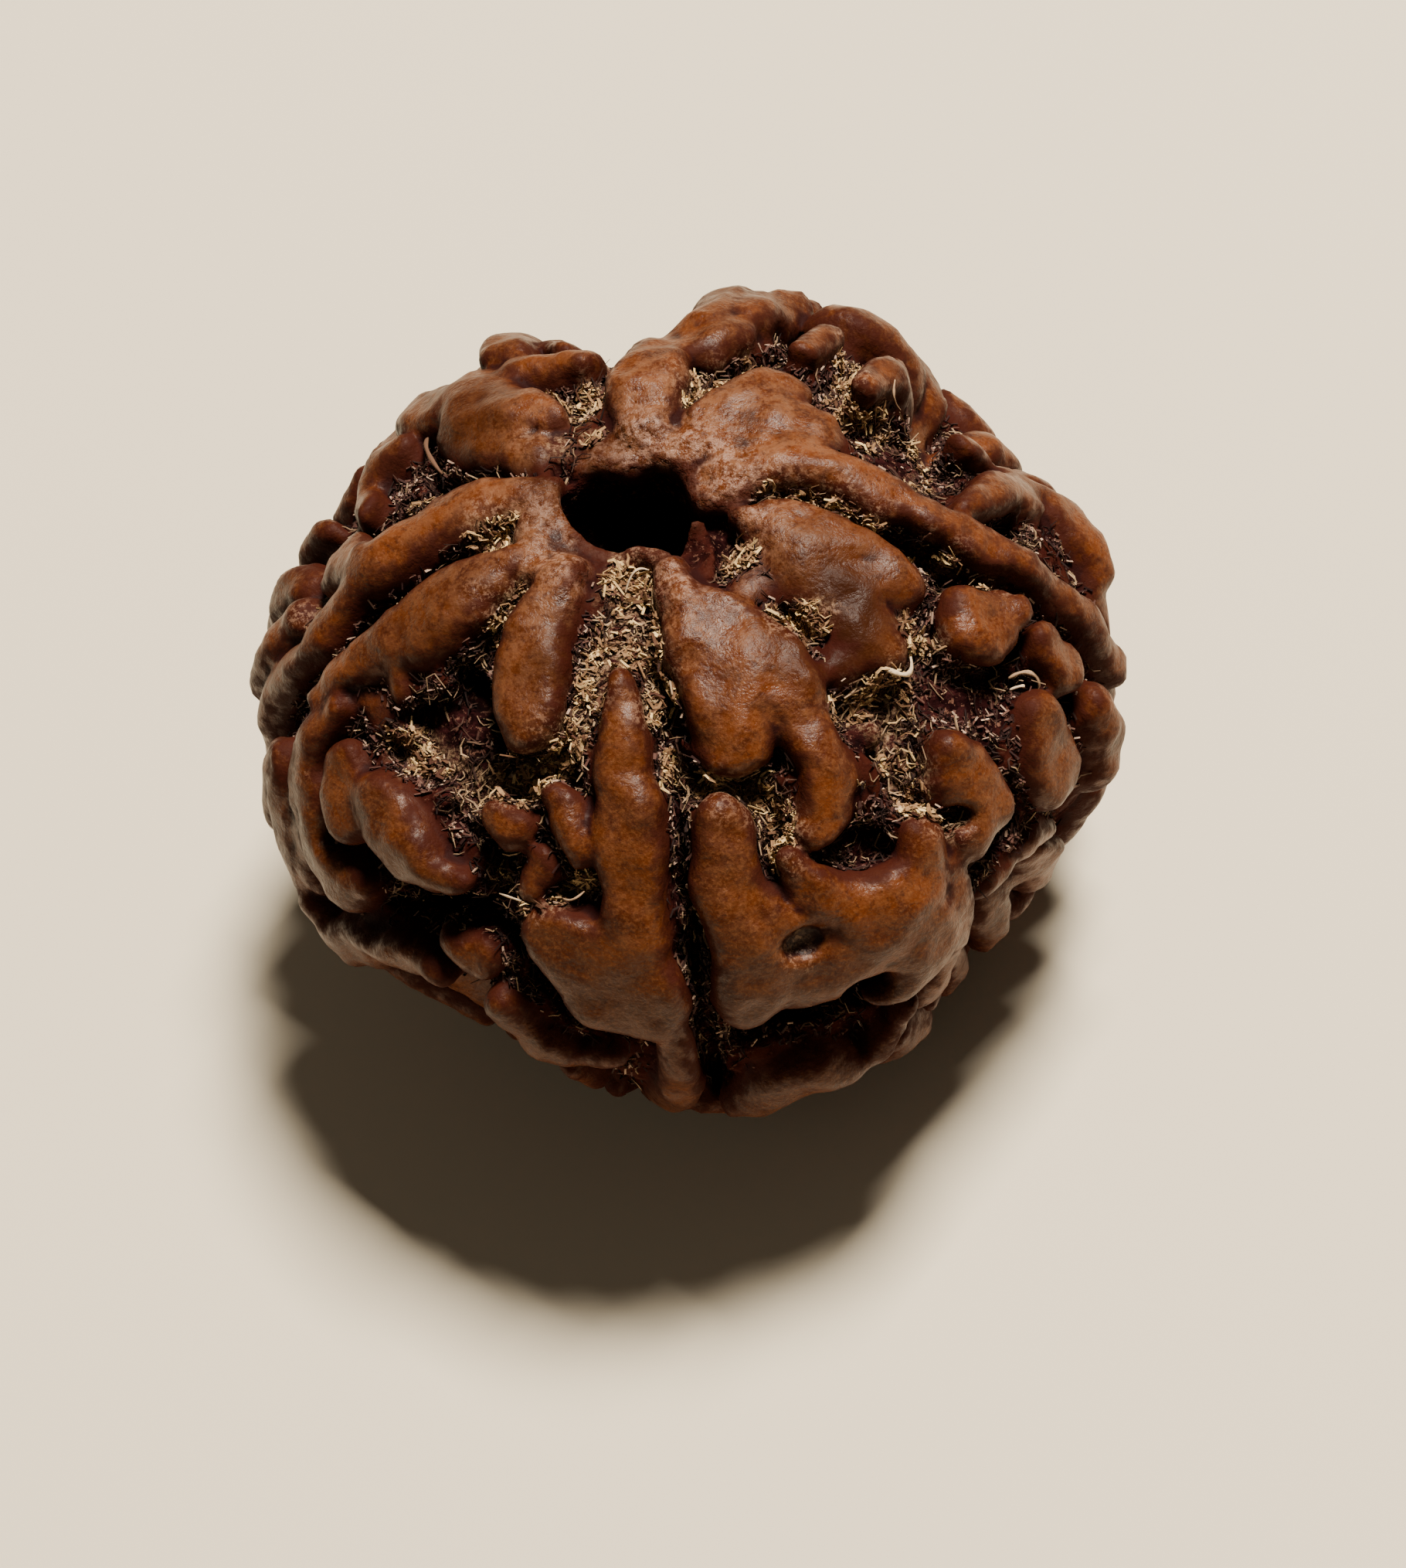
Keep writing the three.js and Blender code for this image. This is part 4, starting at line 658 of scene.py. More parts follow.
def surface_nets(field, low, step):
    """Quads where a grid of distances changes sign: corner positions, and four corner numbers a quad."""
    inside = field < 0
    count = sum(
        inside[i : i - 1 or None, j : j - 1 or None, k : k - 1 or None].astype(np.int8)
        for i in (0, 1) for j in (0, 1) for k in (0, 1)
    )
    active = (count > 0) & (count < 8)
    at = np.argwhere(active)
    number = np.full(active.shape, -1, np.int32)
    number[active] = np.arange(len(at))
    total, crossings = np.zeros((len(at), 3)), np.zeros(len(at))
    for axis in range(3):
        for side in ((0, 0), (0, 1), (1, 0), (1, 1)):
            a, b = np.insert(side, axis, 0), np.insert(side, axis, 1)
            fa, fb = field[tuple((at + a).T)], field[tuple((at + b).T)]
            cross = (fa < 0) != (fb < 0)
            t = np.where(cross, fa / np.where(cross, fa - fb, 1), 0)
            total += cross[:, None] * (a + t[:, None] * (b - a))
            crossings += cross
    quads = []
    for axis in range(3):
        first = np.take(inside, range(inside.shape[axis] - 1), axis)
        second = np.take(inside, range(1, inside.shape[axis]), axis)
        u, v = (axis + 1) % 3, (axis + 2) % 3
        edges = np.argwhere(first != second)
        edges = edges[(edges[:, u] > 0) & (edges[:, v] > 0)]
        flip = second[tuple(edges.T)]
        step_u, step_v = np.eye(3, dtype=int)[[u, v]]
        around = (0 * step_u, step_u, step_u + step_v, step_v)
        ring = np.stack([number[tuple((edges - corner).T)] for corner in around], 1)
        ring[flip] = ring[flip][:, ::-1]
        quads.append(ring)
    return low + step * (at + total / crossings[:, None]), np.concatenate(quads)


def largest_part(corners, quads):
    """The largest connected part: small closed bubbles under the surface are left out."""
    label, settled = np.arange(len(corners)), False
    while not settled:
        lower = label.copy()
        np.minimum.at(lower, quads.ravel(), np.repeat(label[quads].min(1), 4))
        lower = lower[lower]
        settled = (lower == label).all()
        label = lower
    parts = label[quads[:, 0]]
    kept = quads[parts == np.bincount(parts).argmax()]
    used, numbers = np.unique(kept, return_inverse=True)
    return corners[used], numbers.reshape(-1, 4)


def stone_form():
    """The stone's corners, in millimetres about its centre, and its quads."""
    low = -np.array([RADIUS + 0.9, RADIUS + 0.9, CENTRE_Z + 2 * VOXEL])
    high = np.array([RADIUS + 0.9, RADIUS + 0.9, HALF_HEIGHT + 0.5])
    shape = np.ceil((high - low) / VOXEL).astype(int) + 1
    axes = [low[k] + VOXEL * np.arange(shape[k]) for k in range(3)]
    points = np.stack(np.meshgrid(*axes, indexing="ij"), -1).reshape(-1, 3).astype(np.float32)
    height = foot(points)[1]
    field = height.astype(np.float64)
    core = height <= -SHELL_DEPTH
    band = ~core & (height < SHELL_HEIGHT)
    field[band] = shell_field(points[band].astype(np.float64))[0]
    field[core] = np.maximum(-1, bore_field(points[core]))
    field = np.maximum(field, -(points[:, 2] + CENTRE_Z)).reshape(shape)
    untangle(field)
    return largest_part(*surface_nets(field, low, VOXEL))


# Meshes


def new_mesh(name, corners, faces, material, smooth):
    mesh = bpy.data.meshes.new(name)
    mesh.from_pydata(corners.tolist(), [], faces.tolist())
    piece = bpy.data.objects.new(name, mesh)
    bpy.context.scene.collection.objects.link(piece)
    mesh.materials.append(material)
    set_smooth(mesh, smooth)
    return piece


def set_smooth(mesh, smooth):
    mesh.polygons.foreach_set("use_smooth", np.full(len(mesh.polygons), smooth))


def read_all(items, name, width, kind=float):
    """A property of all of a mesh's corners or edges, a row for each."""
    flat = np.empty(len(items) * width, kind)
    items.foreach_get(name, flat)
    return flat.reshape(-1, width)


def add_values(mesh, name, values):
    mesh.attributes.new(name, "FLOAT", "POINT").data.foreach_set("value", np.asarray(values, np.float32))


def to_world(points):
    return (points + [0, 0, CENTRE_Z]) * MM


def from_world(points):
    return points / MM - [0, 0, CENTRE_Z]


def thin_out(piece, most):
    """Brings a piece down to the most triangles it may have."""
    triangles = sum(len(p.vertices) - 2 for p in piece.data.polygons)
    if triangles <= most:
        return
    thin = piece.modifiers.new("thin", "DECIMATE")
    thin.ratio = most / triangles
    view = bpy.context.evaluated_depsgraph_get()
    mesh, old = bpy.data.meshes.new_from_object(piece.evaluated_get(view)), piece.data
    piece.modifiers.clear()
    piece.data = mesh
    mesh.name = piece.name
    bpy.data.meshes.remove(old)


SMOOTHING = 0.6


def hollowness(spots, normals, edges, passes):
    """How far each corner lies below the same surface smoothed, in millimetres: above 0 in hollows."""
    a, b = edges.T
    size = len(spots)
    count = np.bincount(a, minlength=size) + np.bincount(b, minlength=size)
    smooth = spots
    for _ in range(passes):
        total = np.stack(
            [np.bincount(a, smooth[b, k], size) + np.bincount(b, smooth[a, k], size) for k in range(3)], 1
        )
        smooth = (1 - SMOOTHING) * smooth + SMOOTHING * total / count[:, None]
    return ((smooth - spots) * normals).sum(1)


# Materials


class Nodes:
    """A short way to write a material's nodes."""

    def __init__(self, name):
        self.material = bpy.data.materials.new(name)
        self.material.use_nodes = True
        self.tree = self.material.node_tree
        self.tree.nodes.clear()
        self.place = self.node("ShaderNodeTexCoord").outputs["Object"]

    def node(self, kind, **values):
        made = self.tree.nodes.new(kind)
        for name, value in values.items():
            setattr(made, name, value)
        return made

    def put(self, socket, value):
        if isinstance(value, bpy.types.NodeSocket):
            self.tree.links.new(value, socket)
        else:
            socket.default_value = (*value, 1.0) if socket.type == "RGBA" else value

    def put_all(self, made, **values):
        for name, value in values.items():
            self.put(made.inputs[name.replace("_", " ")], value)
        return made

    def value(self, name):
        """An attribute of the mesh."""
        return self.node("ShaderNodeAttribute", attribute_name=name).outputs["Fac"]

    def noise(self, size_mm, detail=3.0, roughness=0.55, distortion=0.0):
        made = self.put_all(
            self.node("ShaderNodeTexNoise"), Vector=self.place, Scale=1 / (size_mm * MM), Detail=detail,
            Roughness=roughness, Distortion=distortion,
        )
        return made.outputs["Fac"]

    def math(self, operation, a, b):
        made = self.node("ShaderNodeMath", operation=operation)
        for socket, value in zip(made.inputs, (a, b)):
            self.put(socket, value)
        return made.outputs[0]

    def plus(self, a, b):
        return self.math("ADD", a, b)

    def times(self, a, b):
        return self.math("MULTIPLY", a, b)

    def span(self, value, low, high, to_low=0.0, to_high=1.0):
        """Maps a value from one range to another, smoothly."""
        made = self.node("ShaderNodeMapRange", interpolation_type="SMOOTHSTEP")
        for socket, number in zip(made.inputs, (value, low, high, to_low, to_high)):
            self.put(socket, number)
        return made.outputs[0]

    def patches(self, size_mm, detail, roughness, low, high, most=1.0, distortion=0.0):
        """Patches of noise, from 0 between them to the most inside them."""
        return self.span(self.noise(size_mm, detail, roughness, distortion), low, high, 0, most)

    def mix(self, share, a, b):
        made = self.node("ShaderNodeMix", data_type="RGBA")
        self.put(made.inputs["Factor"], share)
        colours = [socket for socket in made.inputs if socket.type == "RGBA"]
        for socket, value in zip(colours, (a, b)):
            self.put(socket, value)
        return [socket for socket in made.outputs if socket.type == "RGBA"][0]

    def bump(self, height, distance_mm, strength, **normal):
        made = self.node("ShaderNodeBump")
        self.put_all(made, Height=height, Distance=distance_mm * MM, Strength=strength, **normal)
        return made.outputs["Normal"]

    def finish(self, **values):
        shader = self.put_all(self.node("ShaderNodeBsdfPrincipled"), **values)
        self.put_all(self.node("ShaderNodeOutputMaterial"), Surface=shader.outputs[0])
        return self.material


BARK, BARK_DEEP, BARK_PALE = (0.088, 0.0200, 0.0032), (0.045, 0.0088, 0.0019), (0.138, 0.047, 0.0135)
BARK_DARK, BARK_TINT, BARK_GRAIN = (0.024, 0.0048, 0.0025), (0.03, 0.0075, 0.002), (0.155, 0.058, 0.020)
BLOOM, FROST = (0.150, 0.064, 0.032), (0.28, 0.155, 0.108)
# The second colour below darkens spots that are partly real stains, partly painted shade
FRECKLE, STAIN_AND_SHADE = (0.026, 0.0055, 0.0028), (0.022, 0.0062, 0.0025)
FLANK, FLANK_PALE = (0.018, 0.004, 0.003), (0.045, 0.008, 0.005)
# Painted shade: along the lobes' edges, with the skin's own darker tint there, in hollows, and on the
# deepest valley floors
RIM_TINT_AND_SHADE, HOLLOW_SHADE, DEEP_SHADE = (0.027, 0.0052, 0.0032), (0.014, 0.0035, 0.0032), (0.002, 0.001, 0.001)
VALLEY, VALLEY_PALE, VALLEY_CRUMB = (0.006, 0.0016, 0.0018), (0.024, 0.0062, 0.0062), (0.16, 0.075, 0.05)
STRAW_DARK, STRAW, DUST = (0.070, 0.032, 0.020), (0.30, 0.20, 0.115), (0.30, 0.17, 0.11)


def crown_colour(n, fine, grain):
    """Waxy orange-brown, blotched and freckled, paler by the mouth, and darker in its stains and painted
    shade.
    """
    tint, mouth, stain_and_shade = n.value("tint"), n.value("mouth"), n.value("stain_and_shade")
    colour = n.mix(n.span(n.noise(1.8, 3), 0.36, 0.64), BARK, BARK_DEEP)
    colour = n.mix(n.span(fine, 0.48, 0.72, 0, 0.5), colour, BARK_PALE)
    colour = n.mix(n.patches(0.8, 4, 0.7, 0.50, 0.66, 0.7, 0.6), colour, BARK_DARK)
    colour = n.mix(n.span(tint, 0, 1, 0, 0.4), colour, BARK_TINT)
    bloom = n.times(n.span(mouth, 0.1, 0.75, 0.15, 0.75), n.patches(0.5, 5, 0.75, 0.42, 0.6))
    colour = n.mix(bloom, colour, BLOOM)
    colour = n.mix(n.span(grain, 0.42, 0.7, 0, 0.4), colour, BARK_GRAIN)
    frost = n.times(n.span(mouth, 0.6, 0.82, 0, 0.62), n.patches(0.26, 5, 0.8, 0.47, 0.58))
    colour = n.mix(frost, colour, FROST)
    colour = n.mix(n.patches(0.22, 4, 0.7, 0.56, 0.66, 0.55), colour, FRECKLE)
    # Darker spots, partly real stains and partly painted shade
    return n.mix(n.times(stain_and_shade, 0.9), colour, STAIN_AND_SHADE)


def shell_material():
    """Waxy orange-brown lobes, dark red-brown flanks, and purple-black valleys with pale pulp in places."""
    n = Nodes("seed_shell")
    pulp, mouth, stain_and_shade = n.value("pulp"), n.value("mouth"), n.value("stain_and_shade")
    fine, grain = n.noise(0.45, 4, 0.6), n.noise(0.1, 3, 0.65)
    level = n.plus(n.value("level"), n.span(fine, 0.3, 0.7, -0.15, 0.15))
    hollow = n.plus(n.value("cavity"), n.span(fine, 0.3, 0.7, -0.03, 0.03))
    rim = n.plus(n.value("edge"), n.span(fine, 0.3, 0.7, -0.22, 0.22))
    flank = n.mix(n.span(fine, 0.4, 0.65), FLANK, FLANK_PALE)
    colour = n.mix(n.span(level, -0.95, -0.35), flank, crown_colour(n, fine, grain))
    # Partly painted shade along each lobe's outline, where it falls away into its valley, partly the skin's
    # own darker tint there
    colour = n.mix(n.span(rim, -0.55, 0.0, 0, 0.9), colour, RIM_TINT_AND_SHADE)
    # Painted shade in hollows: darker where the surface lies below its smoothed self
    colour = n.mix(n.span(hollow, 0.0, 0.09, 0, 0.92), colour, HOLLOW_SHADE)
    valley = n.mix(n.span(fine, 0.4, 0.65), VALLEY, VALLEY_PALE)
    valley = n.mix(n.patches(0.16, 3, 0.7, 0.56, 0.66, 0.6), valley, VALLEY_CRUMB)
    colour = n.mix(n.span(level, -1.15, -0.65), valley, colour)
    # Painted shade: the deepest valley floors go nearly black
    colour = n.mix(n.span(level, -1.5, -2.2, 0, 0.85), colour, DEEP_SHADE)
    crumb = n.times(pulp, n.patches(0.25, 4, 0.75, 0.46, 0.56))
    straw = n.mix(n.span(grain, 0.35, 0.65), STRAW_DARK, STRAW)
    colour = n.mix(n.times(crumb, n.span(level, -0.3, -0.7, 0, 0.7)), colour, straw)
    colour = n.mix(n.times(pulp, n.patches(0.2, 5, 0.8, 0.5, 0.6, 0.35)), colour, DUST)
    rough = n.plus(n.span(level, -1.1, -0.5, 0.95, 0.35), n.span(fine, 0.3, 0.7, -0.05, 0.12))
    rough = n.plus(rough, n.span(rim, -0.4, 0.1, 0, 0.2))
    crust = n.times(fine, n.plus(n.span(level, -0.4, -0.9, 0.35, 1.0), n.span(mouth, 0.55, 0.8, 0, 0.7)))
    normal = n.bump(grain, 0.035, 0.5, Normal=n.bump(crust, 0.22, 0.85))
    shine = n.times(n.span(level, -0.9, -0.4, 0.03, 0.13), n.span(rim, -0.5, 0.0, 1.0, 0.3))
    shine = n.times(shine, n.span(stain_and_shade, 0, 0.8, 1.0, 0.45))
    return n.finish(Base_Color=colour, Roughness=rough, Normal=normal, Specular_IOR_Level=shine)


def fibre_material(name, dark, middle, pale):
    """Dry pulp: each strand has its own shade, with fine streaks."""
    n = Nodes(name)
    streak, shade = n.noise(0.08, 2), n.value("shade")
    colour = n.mix(n.span(shade, 0.5, 1.0), n.mix(n.span(shade, 0.0, 0.5), dark, middle), pale)
    colour = n.mix(n.span(streak, 0.4, 0.75, 0, 0.4), colour, dark)
    return n.finish(
        Base_Color=colour, Roughness=0.8, Normal=n.bump(streak, 0.02, 0.6), Specular_IOR_Level=0.15
    )


# Dry pulp in the valleys

# Where pulp clings: azimuth, latitude and radius
PULP = [
    (250, 84, 0.7), (246, 79, 0.8), (256, 77, 0.8), (250, 72, 0.9), (260, 70, 0.7), (243, 68, 0.6),
    (243, 62.5, 0.6), (262, 64, 0.6), (259, 60, 0.6), (262, 52, 0.5),
    (201, 41.5, 0.5), (206, 43, 0.5), (211, 43, 0.5), (217, 43.5, 0.55), (213, 47, 0.3),
    (223, 44.5, 0.75), (229, 46.5, 0.65), (232.5, 50.5, 0.7), (236, 56, 0.6), (166, 70, 0.8),
    (163, 67, 0.5), (197, 70, 0.5), (201, 67, 0.6), (204, 64, 0.4), (101, 65.5, 0.9), (106, 63.5, 0.7),
    (96, 63.5, 0.7), (121, 73, 0.35), (104, 74, 0.35), (128, 69, 0.3), (64, 68, 0.6), (60, 66.5, 0.75),
    (55, 63, 0.7), (51.5, 57.5, 0.5), (49.5, 52, 0.35), (42, 44, 0.35), (38, 41, 0.4), (33.5, 51, 0.45),
    (36, 46, 0.5), (39, 39, 0.45), (25, 54, 0.4), (16, 54, 0.25), (22, 49, 0.35), (18, 44, 0.3),
    (12, 43, 0.25), (6, 44, 0.3), (2, 49, 0.28),
    (357.5, 73, 0.55), (353, 69, 0.65), (349.5, 64.5, 0.5), (347, 59, 0.35), (342.5, 52, 0.4),
    (341, 46, 0.4), (340, 40, 0.3), (324, 46, 0.4), (303, 64.5, 0.55), (307, 62.7, 0.65),
    (310.5, 60.7, 0.5), (300, 50, 0.5), (305, 48, 0.8), (310, 47, 0.8), (306, 43, 0.8), (302.5, 38, 0.6),
    (300.5, 33, 0.5), (300.5, 28.5, 0.35), (303, 24.5, 0.35), (315, 75, 0.5),
    (321, 50, 0.5), (270, 48, 0.6), (277, 46, 0.6), (279, 40, 0.6), (278, 36, 0.5), (266, 49, 0.4),
    (244, 35, 0.4), (241, 33, 0.35), (237.5, 31, 0.3), (234, 31.5, 0.4), (230.5, 31.5, 0.35),
    (275.6, 22.2, 0.45), (165, 31, 0.5), (191, 25, 0.4), (145, 57, 0.6), (148, 53, 0.5), (353, 34, 0.5),
]

# Where the bark is darker, partly real stains and partly painted shade: azimuth, latitude, radius and
# strength
STAINS_AND_SHADE = [
    (312, 60, 2.6, 1.0), (326, 64, 2.2, 0.5), (236, 66.5, 1.8, 0.95), (197, 63, 2.4, 0.45),
    (186, 56, 2.2, 0.3), (130, 57, 2.6, 0.6), (136, 76, 1.5, 0.8), (112, 77, 1.4, 0.6),
    (162, 77, 1.2, 0.4), (222, 31, 1.8, 0.3),
]
BARE_KNOB, BARE_RADIUS = (300.8, 44.7), 0.62
PULP_WAVE, PULP_FALL = (0.3, 0.8, 61), (1.9, 1.4)
STAIN_AND_SHADE_WAVE, STAIN_AND_SHADE_FALL = (0.5, 1.1, 65), (1.5, 1.5)


def share_at(q, spots, wave, fall):
    """How much of a thing there is at points of the ellipsoid, from 0 to 1, about wavy round spots."""
    share = np.zeros(len(q))
    wavy = q + shifts(q, *wave)
    for azimuth, latitude, radius, strength in spots:
        away = np.linalg.norm(wavy - surface_point(azimuth, latitude), axis=1)
        share = np.maximum(share, strength * np.clip(fall[0] - fall[1] * away / radius, 0, 1))
    return share


def tubes(name, material, corners, shades, smooth):
    """Closed strands as one mesh: the corners go by strand, ring and side, and each strand has its shade."""
    count, rings, sides = corners.shape[:3]
    faces = []
    for ring in range(0, sides * (rings - 1), sides):
        for k in range(sides):
            a, b = ring + k, ring + (k + 1) % sides
            faces += [(a, b, b + sides), (a, b + sides, a + sides)]
    last = sides * (rings - 1)
    faces += [(0, k + 1, k) for k in range(1, sides - 1)]
    faces += [(last, last + k, last + k + 1) for k in range(1, sides - 1)]
    faces = np.array(faces) + sides * rings * np.arange(count)[:, None, None]
    piece = new_mesh(name, to_world(corners.reshape(-1, 3)), faces.reshape(-1, 3), material, smooth)
    add_values(piece.data, "shade", np.repeat(shades, sides * rings))
    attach(piece, "root")


STRAND_BEND, STRAND_TILT, STRAND_CURL, STRAND_UNEVEN = 1.6, 0.3, 0.12, 0.02
STRAND_SIDES, STRAND_FLATNESS = 3, 0.6
ASIDE = (0.31, 0.52, 0.79)


def strands(name, material, starts, normals, sizes, dullness, rings, rng):
    """Curled, tapered strands that lie on the stone.

    Their sizes are lengths, thicknesses and lifts. The greater the dullness, the fewer are pale.
    """
    count = len(starts)
    lengths, thicknesses, lifts = [each[:, None, None] for each in sizes]
    normal = normals[:, None]
    heading = unit(np.cross(normals, rng.normal(size=(count, 3))))[:, None]
    bend = STRAND_BEND * rng.normal(size=(count, 1, 1))
    tilt = STRAND_TILT * rng.normal(size=(count, 1, 1))
    t = np.linspace(-0.5, 0.5, rings)[None, :, None]
    path = starts[:, None] + normal * (lifts + 0.25 * thicknesses) + lengths * t * (heading + tilt * normal)
    curl = lengths * bend * (t * t - STRAND_CURL) * np.cross(normal, heading)
    path += curl + STRAND_UNEVEN * rng.normal(size=(count, rings, 3))
    along = unit(np.gradient(path, axis=1))
    side = unit(np.cross(along, ASIDE))
    other = np.cross(along, side)
    swelling = 0.45 + 1.1 * np.sin(math.pi * (0.5 + 0.76 * t)) ** 0.7
    half = (0.5 * thicknesses * swelling / 1.3)[..., None]
    angle = 6 * rng.random((count, 1, 1)) + 2 * math.pi * np.arange(STRAND_SIDES) / STRAND_SIDES
    ring = np.cos(angle)[..., None] * side[:, :, None]
    ring += STRAND_FLATNESS * np.sin(angle)[..., None] * other[:, :, None]
    tubes(name, material, path[:, :, None] + half * ring, rng.random(count) ** dullness, False)


# Single fibres: thickness and shade, then azimuth, latitude and level at each point
FIBRES = [
    (0.13, 0.4, (328.1, 31.3, -0.9), (329.9, 30, -0.75), (330.7, 28, -0.65), (330.3, 25.8, -0.7),
     (328.9, 25.2, -0.9)),
    (0.10, 0.8, (327.0, 29.8, -1.0), (328.2, 28.8, -0.8), (328.6, 27.6, -0.9)),
    (0.16, 0.02, (127.8, 42.8, -0.7), (132.0, 47.5, -0.45), (136.5, 51.7, -0.4), (140.9, 55.7, -0.7)),
    (0.15, 0.8, (311.3, 51.0, -0.6), (311.9, 49.2, -0.4), (313.4, 47.4, -0.35), (316.4, 48.5, -0.3)),
    (0.09, 0.4, (24.7, 47.7, 0.05), (22.6, 48.0, -0.35), (22.6, 45.5, -0.75)),
    (0.06, 0.8, (231.0, 31.0, -0.7), (233.9, 31.6, -0.5), (235.5, 31.2, -0.6)),
    (0.07, 0.45, (241.8, 33.2, -0.6), (243.6, 33.6, -0.45), (245.2, 34.8, -0.6)),
    (0.07, 0.75, (246.0, 77.0, -0.9), (252.0, 79.5, -0.55), (262.0, 80.0, -0.7)),
]
FIBRE_RINGS, FIBRE_SIDES, FIBRE_FLATNESS = 17, 5, 0.5
FIBRE_UNEVEN, FIBRE_WAVES = 0.2, 5


def laid_fibres(name, material):
    """The single fibres: smooth bent strands, tapered at their ends and a little uneven."""
    turn = 2 * math.pi * np.arange(FIBRE_SIDES) / FIBRE_SIDES
    swelling = 0.3 + 0.7 * np.sin(math.pi * np.linspace(0.04, 0.96, FIBRE_RINGS)) ** 0.6
    corners = []
    for k, (thickness, _, *path) in enumerate(FIBRES):
        last = len(path) - 1
        at = np.linspace(0, last, FIBRE_RINGS)
        curve = np.polynomial.polynomial.polyfit(np.arange(last + 1), np.array(path, float), last)
        azimuth, latitude, level = np.polynomial.polynomial.polyval(at, curve)
        feet = surface_point(azimuth, latitude)
        outward = unit(feet / np.array([RADIUS, RADIUS, HALF_HEIGHT]) ** 2)
        line = feet + outward * level[:, None]
        along = unit(np.gradient(line, axis=0))
        side = unit(np.cross(along, outward))[:, None]
        uneven = 1 + FIBRE_UNEVEN * np.sin(FIBRE_WAVES * at + k)
        half = (0.5 * thickness * swelling * uneven)[:, None, None]
        lift = np.cross(side, along[:, None])
        ring = np.cos(turn)[:, None] * side + FIBRE_FLATNESS * np.sin(turn)[:, None] * lift
        corners.append(line[:, None] + half * ring)
    tubes(name, material, np.array(corners), [fibre[1] for fibre in FIBRES], True)


# The seed

CAVITY_PASSES = 14
MOUTH_REACH = 5.5
PALE_FROM, PALE_OVER, PALE_FLOOR = -0.4, 0.35, -1.9
DEEP_FROM, DEEP_OVER, DEEP_FLOOR = -0.55, 0.3, -2.0
BORE_GAP, MOUTH_GAP = -0.3, 2.4

corners, quads = stone_form()
seed = new_mesh("seed_shell", to_world(corners), quads, shell_material(), True)
thin_out(seed, MOST_TRIANGLES)
set_smooth(seed.data, True)

spots = from_world(read_all(seed.data.vertices, "co", 3))
facing = read_all(seed.data.vertex_normals, "vector", 3)
edges = read_all(seed.data.edges, "vertices", 2, np.int32)
_, level, edge, owner = shell_field(spots)
feet = foot(spots)[0]
pulp = share_at(feet, [(*spot, 1) for spot in PULP], PULP_WAVE, PULP_FALL)
around = spots[:, 0] ** 2 + spots[:, 1] ** 2
for name, values in {
    "level": level,
    "cavity": hollowness(spots, facing, edges, CAVITY_PASSES),
    "edge": edge,
    "tint": np.random.default_rng(5).random(len(lobes))[owner],
    "mouth": np.exp(-around / MOUTH_REACH**2) * (spots[:, 2] > 0),
    "pulp": pulp,
    # Darker spots, partly real stains and partly painted shade
    "stain_and_shade": share_at(feet, STAINS_AND_SHADE, STAIN_AND_SHADE_WAVE, STAIN_AND_SHADE_FALL),
}.items():
    add_values(seed.data, name, values)
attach(seed, "root")
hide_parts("seed")

rng = np.random.default_rng(77)


def lay_pulp(name, colours, weight, count, sizes, dullness, rings):
    """Strands at random corners of the shell, the likelier the greater a corner's weight.

    Their lengths, thicknesses and lifts are each given as the least, the greatest and a power.
    """
    picked = rng.choice(len(spots), count, p=weight / weight.sum())
    sizes = [low + (high - low) * rng.random(count) ** power for low, high, power in sizes]
    material = fibre_material(name, *colours)
    strands(name, material, spots[picked], facing[picked], sizes, dullness[picked], rings, rng)


off_knob = np.linalg.norm(feet - surface_point(*BARE_KNOB), axis=1) > BARE_RADIUS
clear = (bore_field(spots) < BORE_GAP) * off_knob
low_ground = np.clip((PALE_FROM - level) / PALE_OVER, 0, 1) * (level > PALE_FLOOR) * clear
deep = np.clip((DEEP_FROM - level) / DEEP_OVER, 0, 1) * (level > DEEP_FLOOR)
deep *= np.clip((spots[:, 2] + 2) / 4, 0.1, 1) * clear * (np.sqrt(around) > MOUTH_GAP)
patches = np.clip(0.4 + 1.9 * noise(spots, 0.7, 71) + 1.2 * noise(spots, 0.35, 72), 0.02, 1.7)
same = np.ones(len(spots))
lay_pulp(
    "pulp_pale", [(0.05, 0.018, 0.011), (0.25, 0.138, 0.066), (0.67, 0.465, 0.21)],
    np.clip(pulp - 0.2, 0, 1) * low_ground * patches, 9800,
    [(0.12, 0.54, 2), (0.045, 0.135, 1.4), (0, 0.16, 1.5)], 1.15 * same, 4,
)
lay_pulp(
    "pulp_crumbs", [(0.016, 0.0045, 0.004), (0.090, 0.040, 0.030), (0.40, 0.265, 0.19)],
    (0.32 + 0.35 * np.clip(pulp, 0, 1)) * deep * patches, 24500,
    [(0.08, 0.3, 1), (0.05, 0.13, 1), (-0.02, 0.05, 1)], 1.9 * same, 2,
)
lay_pulp(
    "pulp_dark", [(0.008, 0.0025, 0.002), (0.040, 0.017, 0.011), (0.32, 0.21, 0.12)],
    (0.3 + np.clip(pulp, 0, 1)) * deep, 9500,
    [(0.2, 0.65, 1), (0.03, 0.07, 1), (0, 0.1, 1)], np.where(pulp > 0.4, 0.8, 2.0), 4,
)
single = fibre_material("pulp_single", (0.10, 0.05, 0.03), (0.35, 0.22, 0.13), (0.70, 0.54, 0.36))
laid_fibres("pulp_single", single)

# Floor, light and camera

FLOOR_HALF = 0.6
CLOTH = (0.64, 0.56, 0.43)
SKY, SKY_STRENGTH = (1.0, 0.88, 0.70, 1.0), 0.085
AIM = Vector((0, 0, 0.008))
ELEVATION, ROLL = math.radians(54.6), math.radians(14.7)
DISTANCE, FOCAL_PIXELS = 113 * MM, 5300.0
FRAME_HEIGHT, SENSOR = 2029.0, 36.0
AXIS_OFFSET = (-11.0, 106.5)

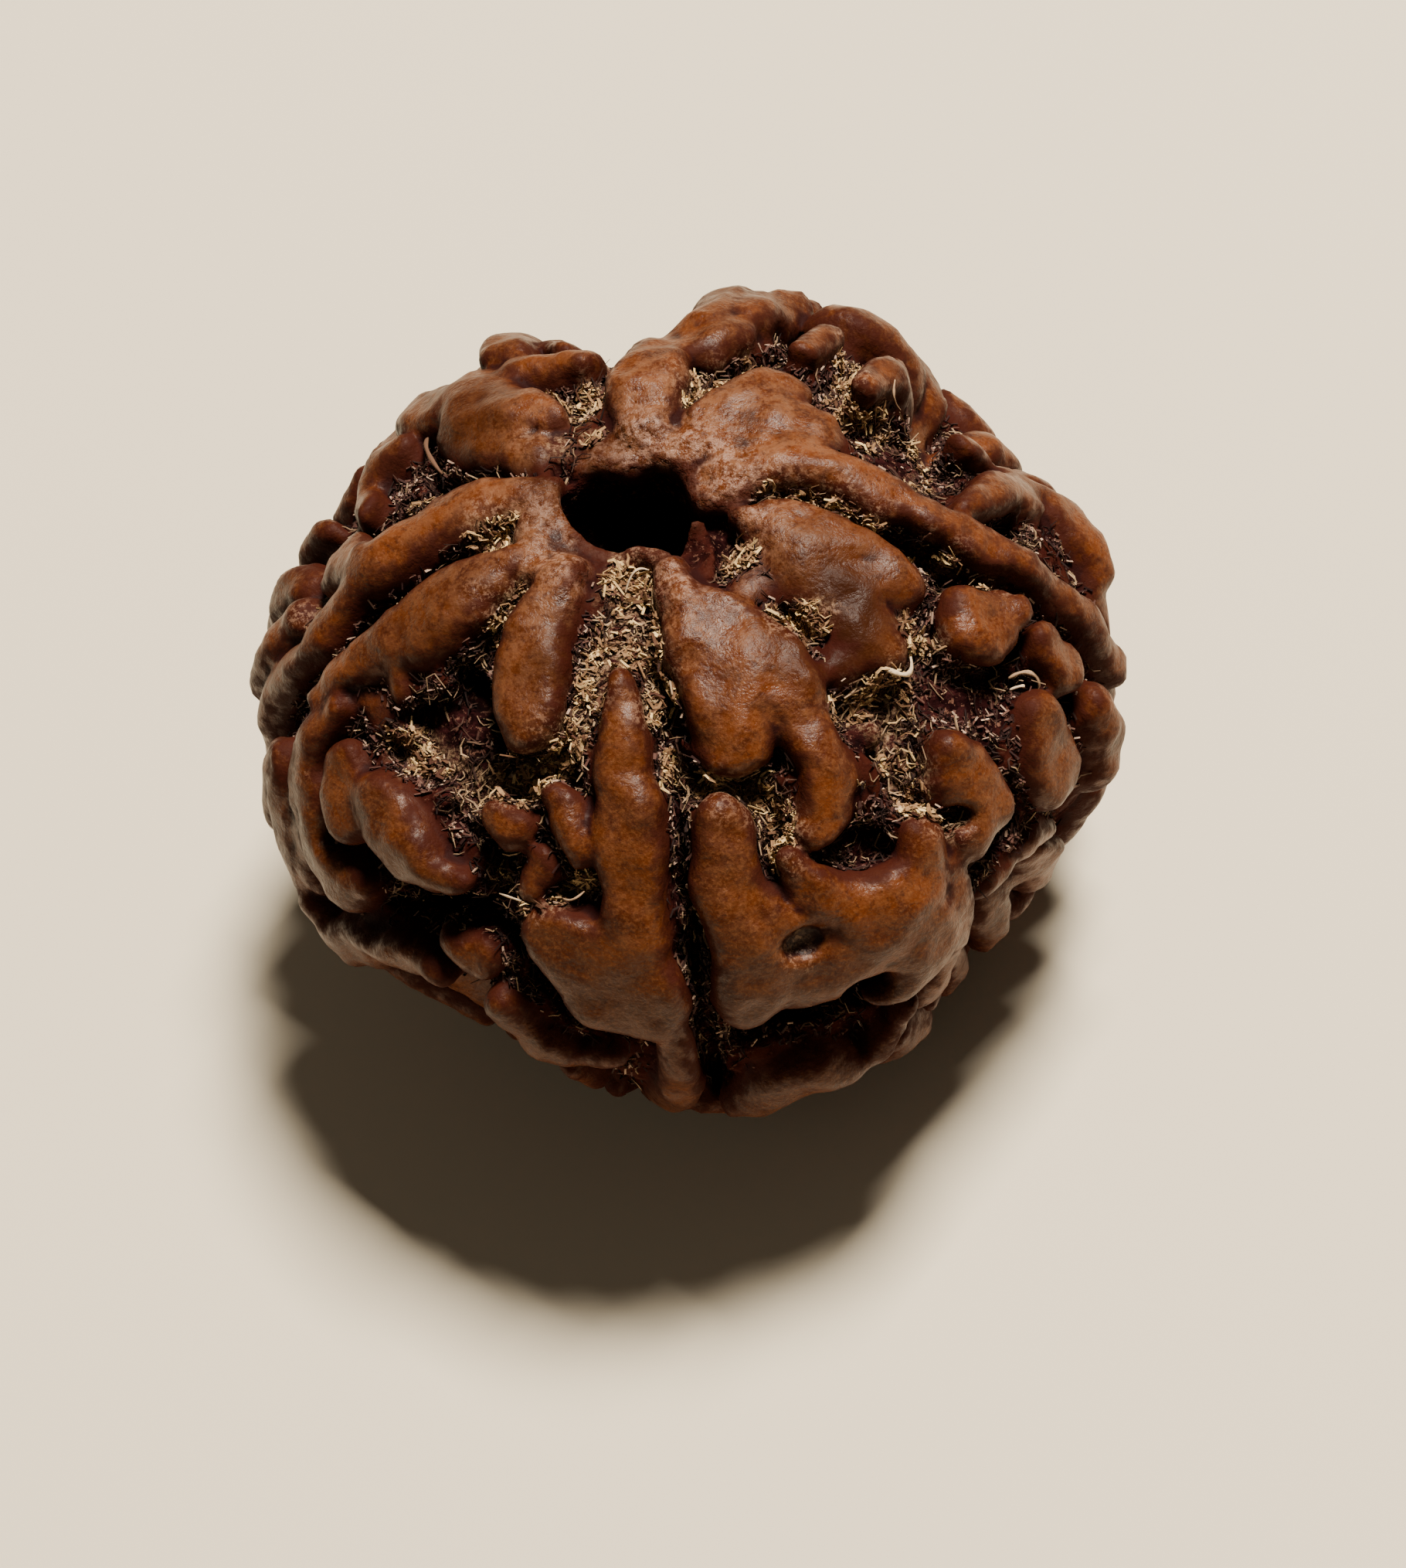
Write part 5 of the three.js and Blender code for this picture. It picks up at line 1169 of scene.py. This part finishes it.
square = np.array([(-1, -1, 0), (1, -1, 0), (1, 1, 0), (-1, 1, 0)]) * FLOOR_HALF
cloth = Nodes("floor_cloth").finish(Base_Color=CLOTH, Roughness=0.9, Specular_IOR_Level=0.25)
floor = new_mesh("floor", square, np.array([[0, 1, 2, 3]]), cloth, True)

world = bpy.data.worlds.new("studio")
bpy.context.scene.world = world
world.use_nodes = True
sky = world.node_tree.nodes["Background"]
sky.inputs["Color"].default_value, sky.inputs["Strength"].default_value = SKY, SKY_STRENGTH


def area_light(name, place, size, power, colour):
    light = bpy.data.lights.new(name, "AREA")
    light.size, light.energy, light.color = size, power, colour
    lamp = bpy.data.objects.new(name, light)
    lamp.location = place
    lamp.rotation_euler = (AIM - Vector(place)).to_track_quat("-Z", "Y").to_euler()
    bpy.context.scene.collection.objects.link(lamp)


area_light("key", (0.165, 0.125, 0.51), 0.13, 10.8, (1, 0.92, 0.79))
area_light("fill", (-0.3, -0.25, 0.35), 0.4, 0.1, (1, 0.93, 0.82))


def set_camera():
    """The photograph's view: from the front and above, leaning a little to one side."""
    forward = Vector((0, math.cos(ELEVATION), -math.sin(ELEVATION)))
    level = Vector((1, 0, 0))
    upward = level.cross(forward)
    right = math.cos(ROLL) * level - math.sin(ROLL) * upward
    up = math.sin(ROLL) * level + math.cos(ROLL) * upward
    look = forward - right * (AXIS_OFFSET[0] / FOCAL_PIXELS) - up * (AXIS_OFFSET[1] / FOCAL_PIXELS)
    look.normalize()
    right = (right - look * right.dot(look)).normalized()
    data = bpy.data.cameras.new("camera")
    data.sensor_fit, data.sensor_height = "VERTICAL", SENSOR
    data.lens = SENSOR * FOCAL_PIXELS / FRAME_HEIGHT
    data.clip_start, data.clip_end = 0.005, 10.0
    camera = bpy.data.objects.new("camera", data)
    camera.matrix_world = Matrix((right, right.cross(look), -look)).transposed().to_4x4()
    camera.location = Vector((0, 0, CENTRE_Z * MM)) - forward * DISTANCE
    bpy.context.scene.collection.objects.link(camera)
    bpy.context.scene.camera = camera


set_camera()
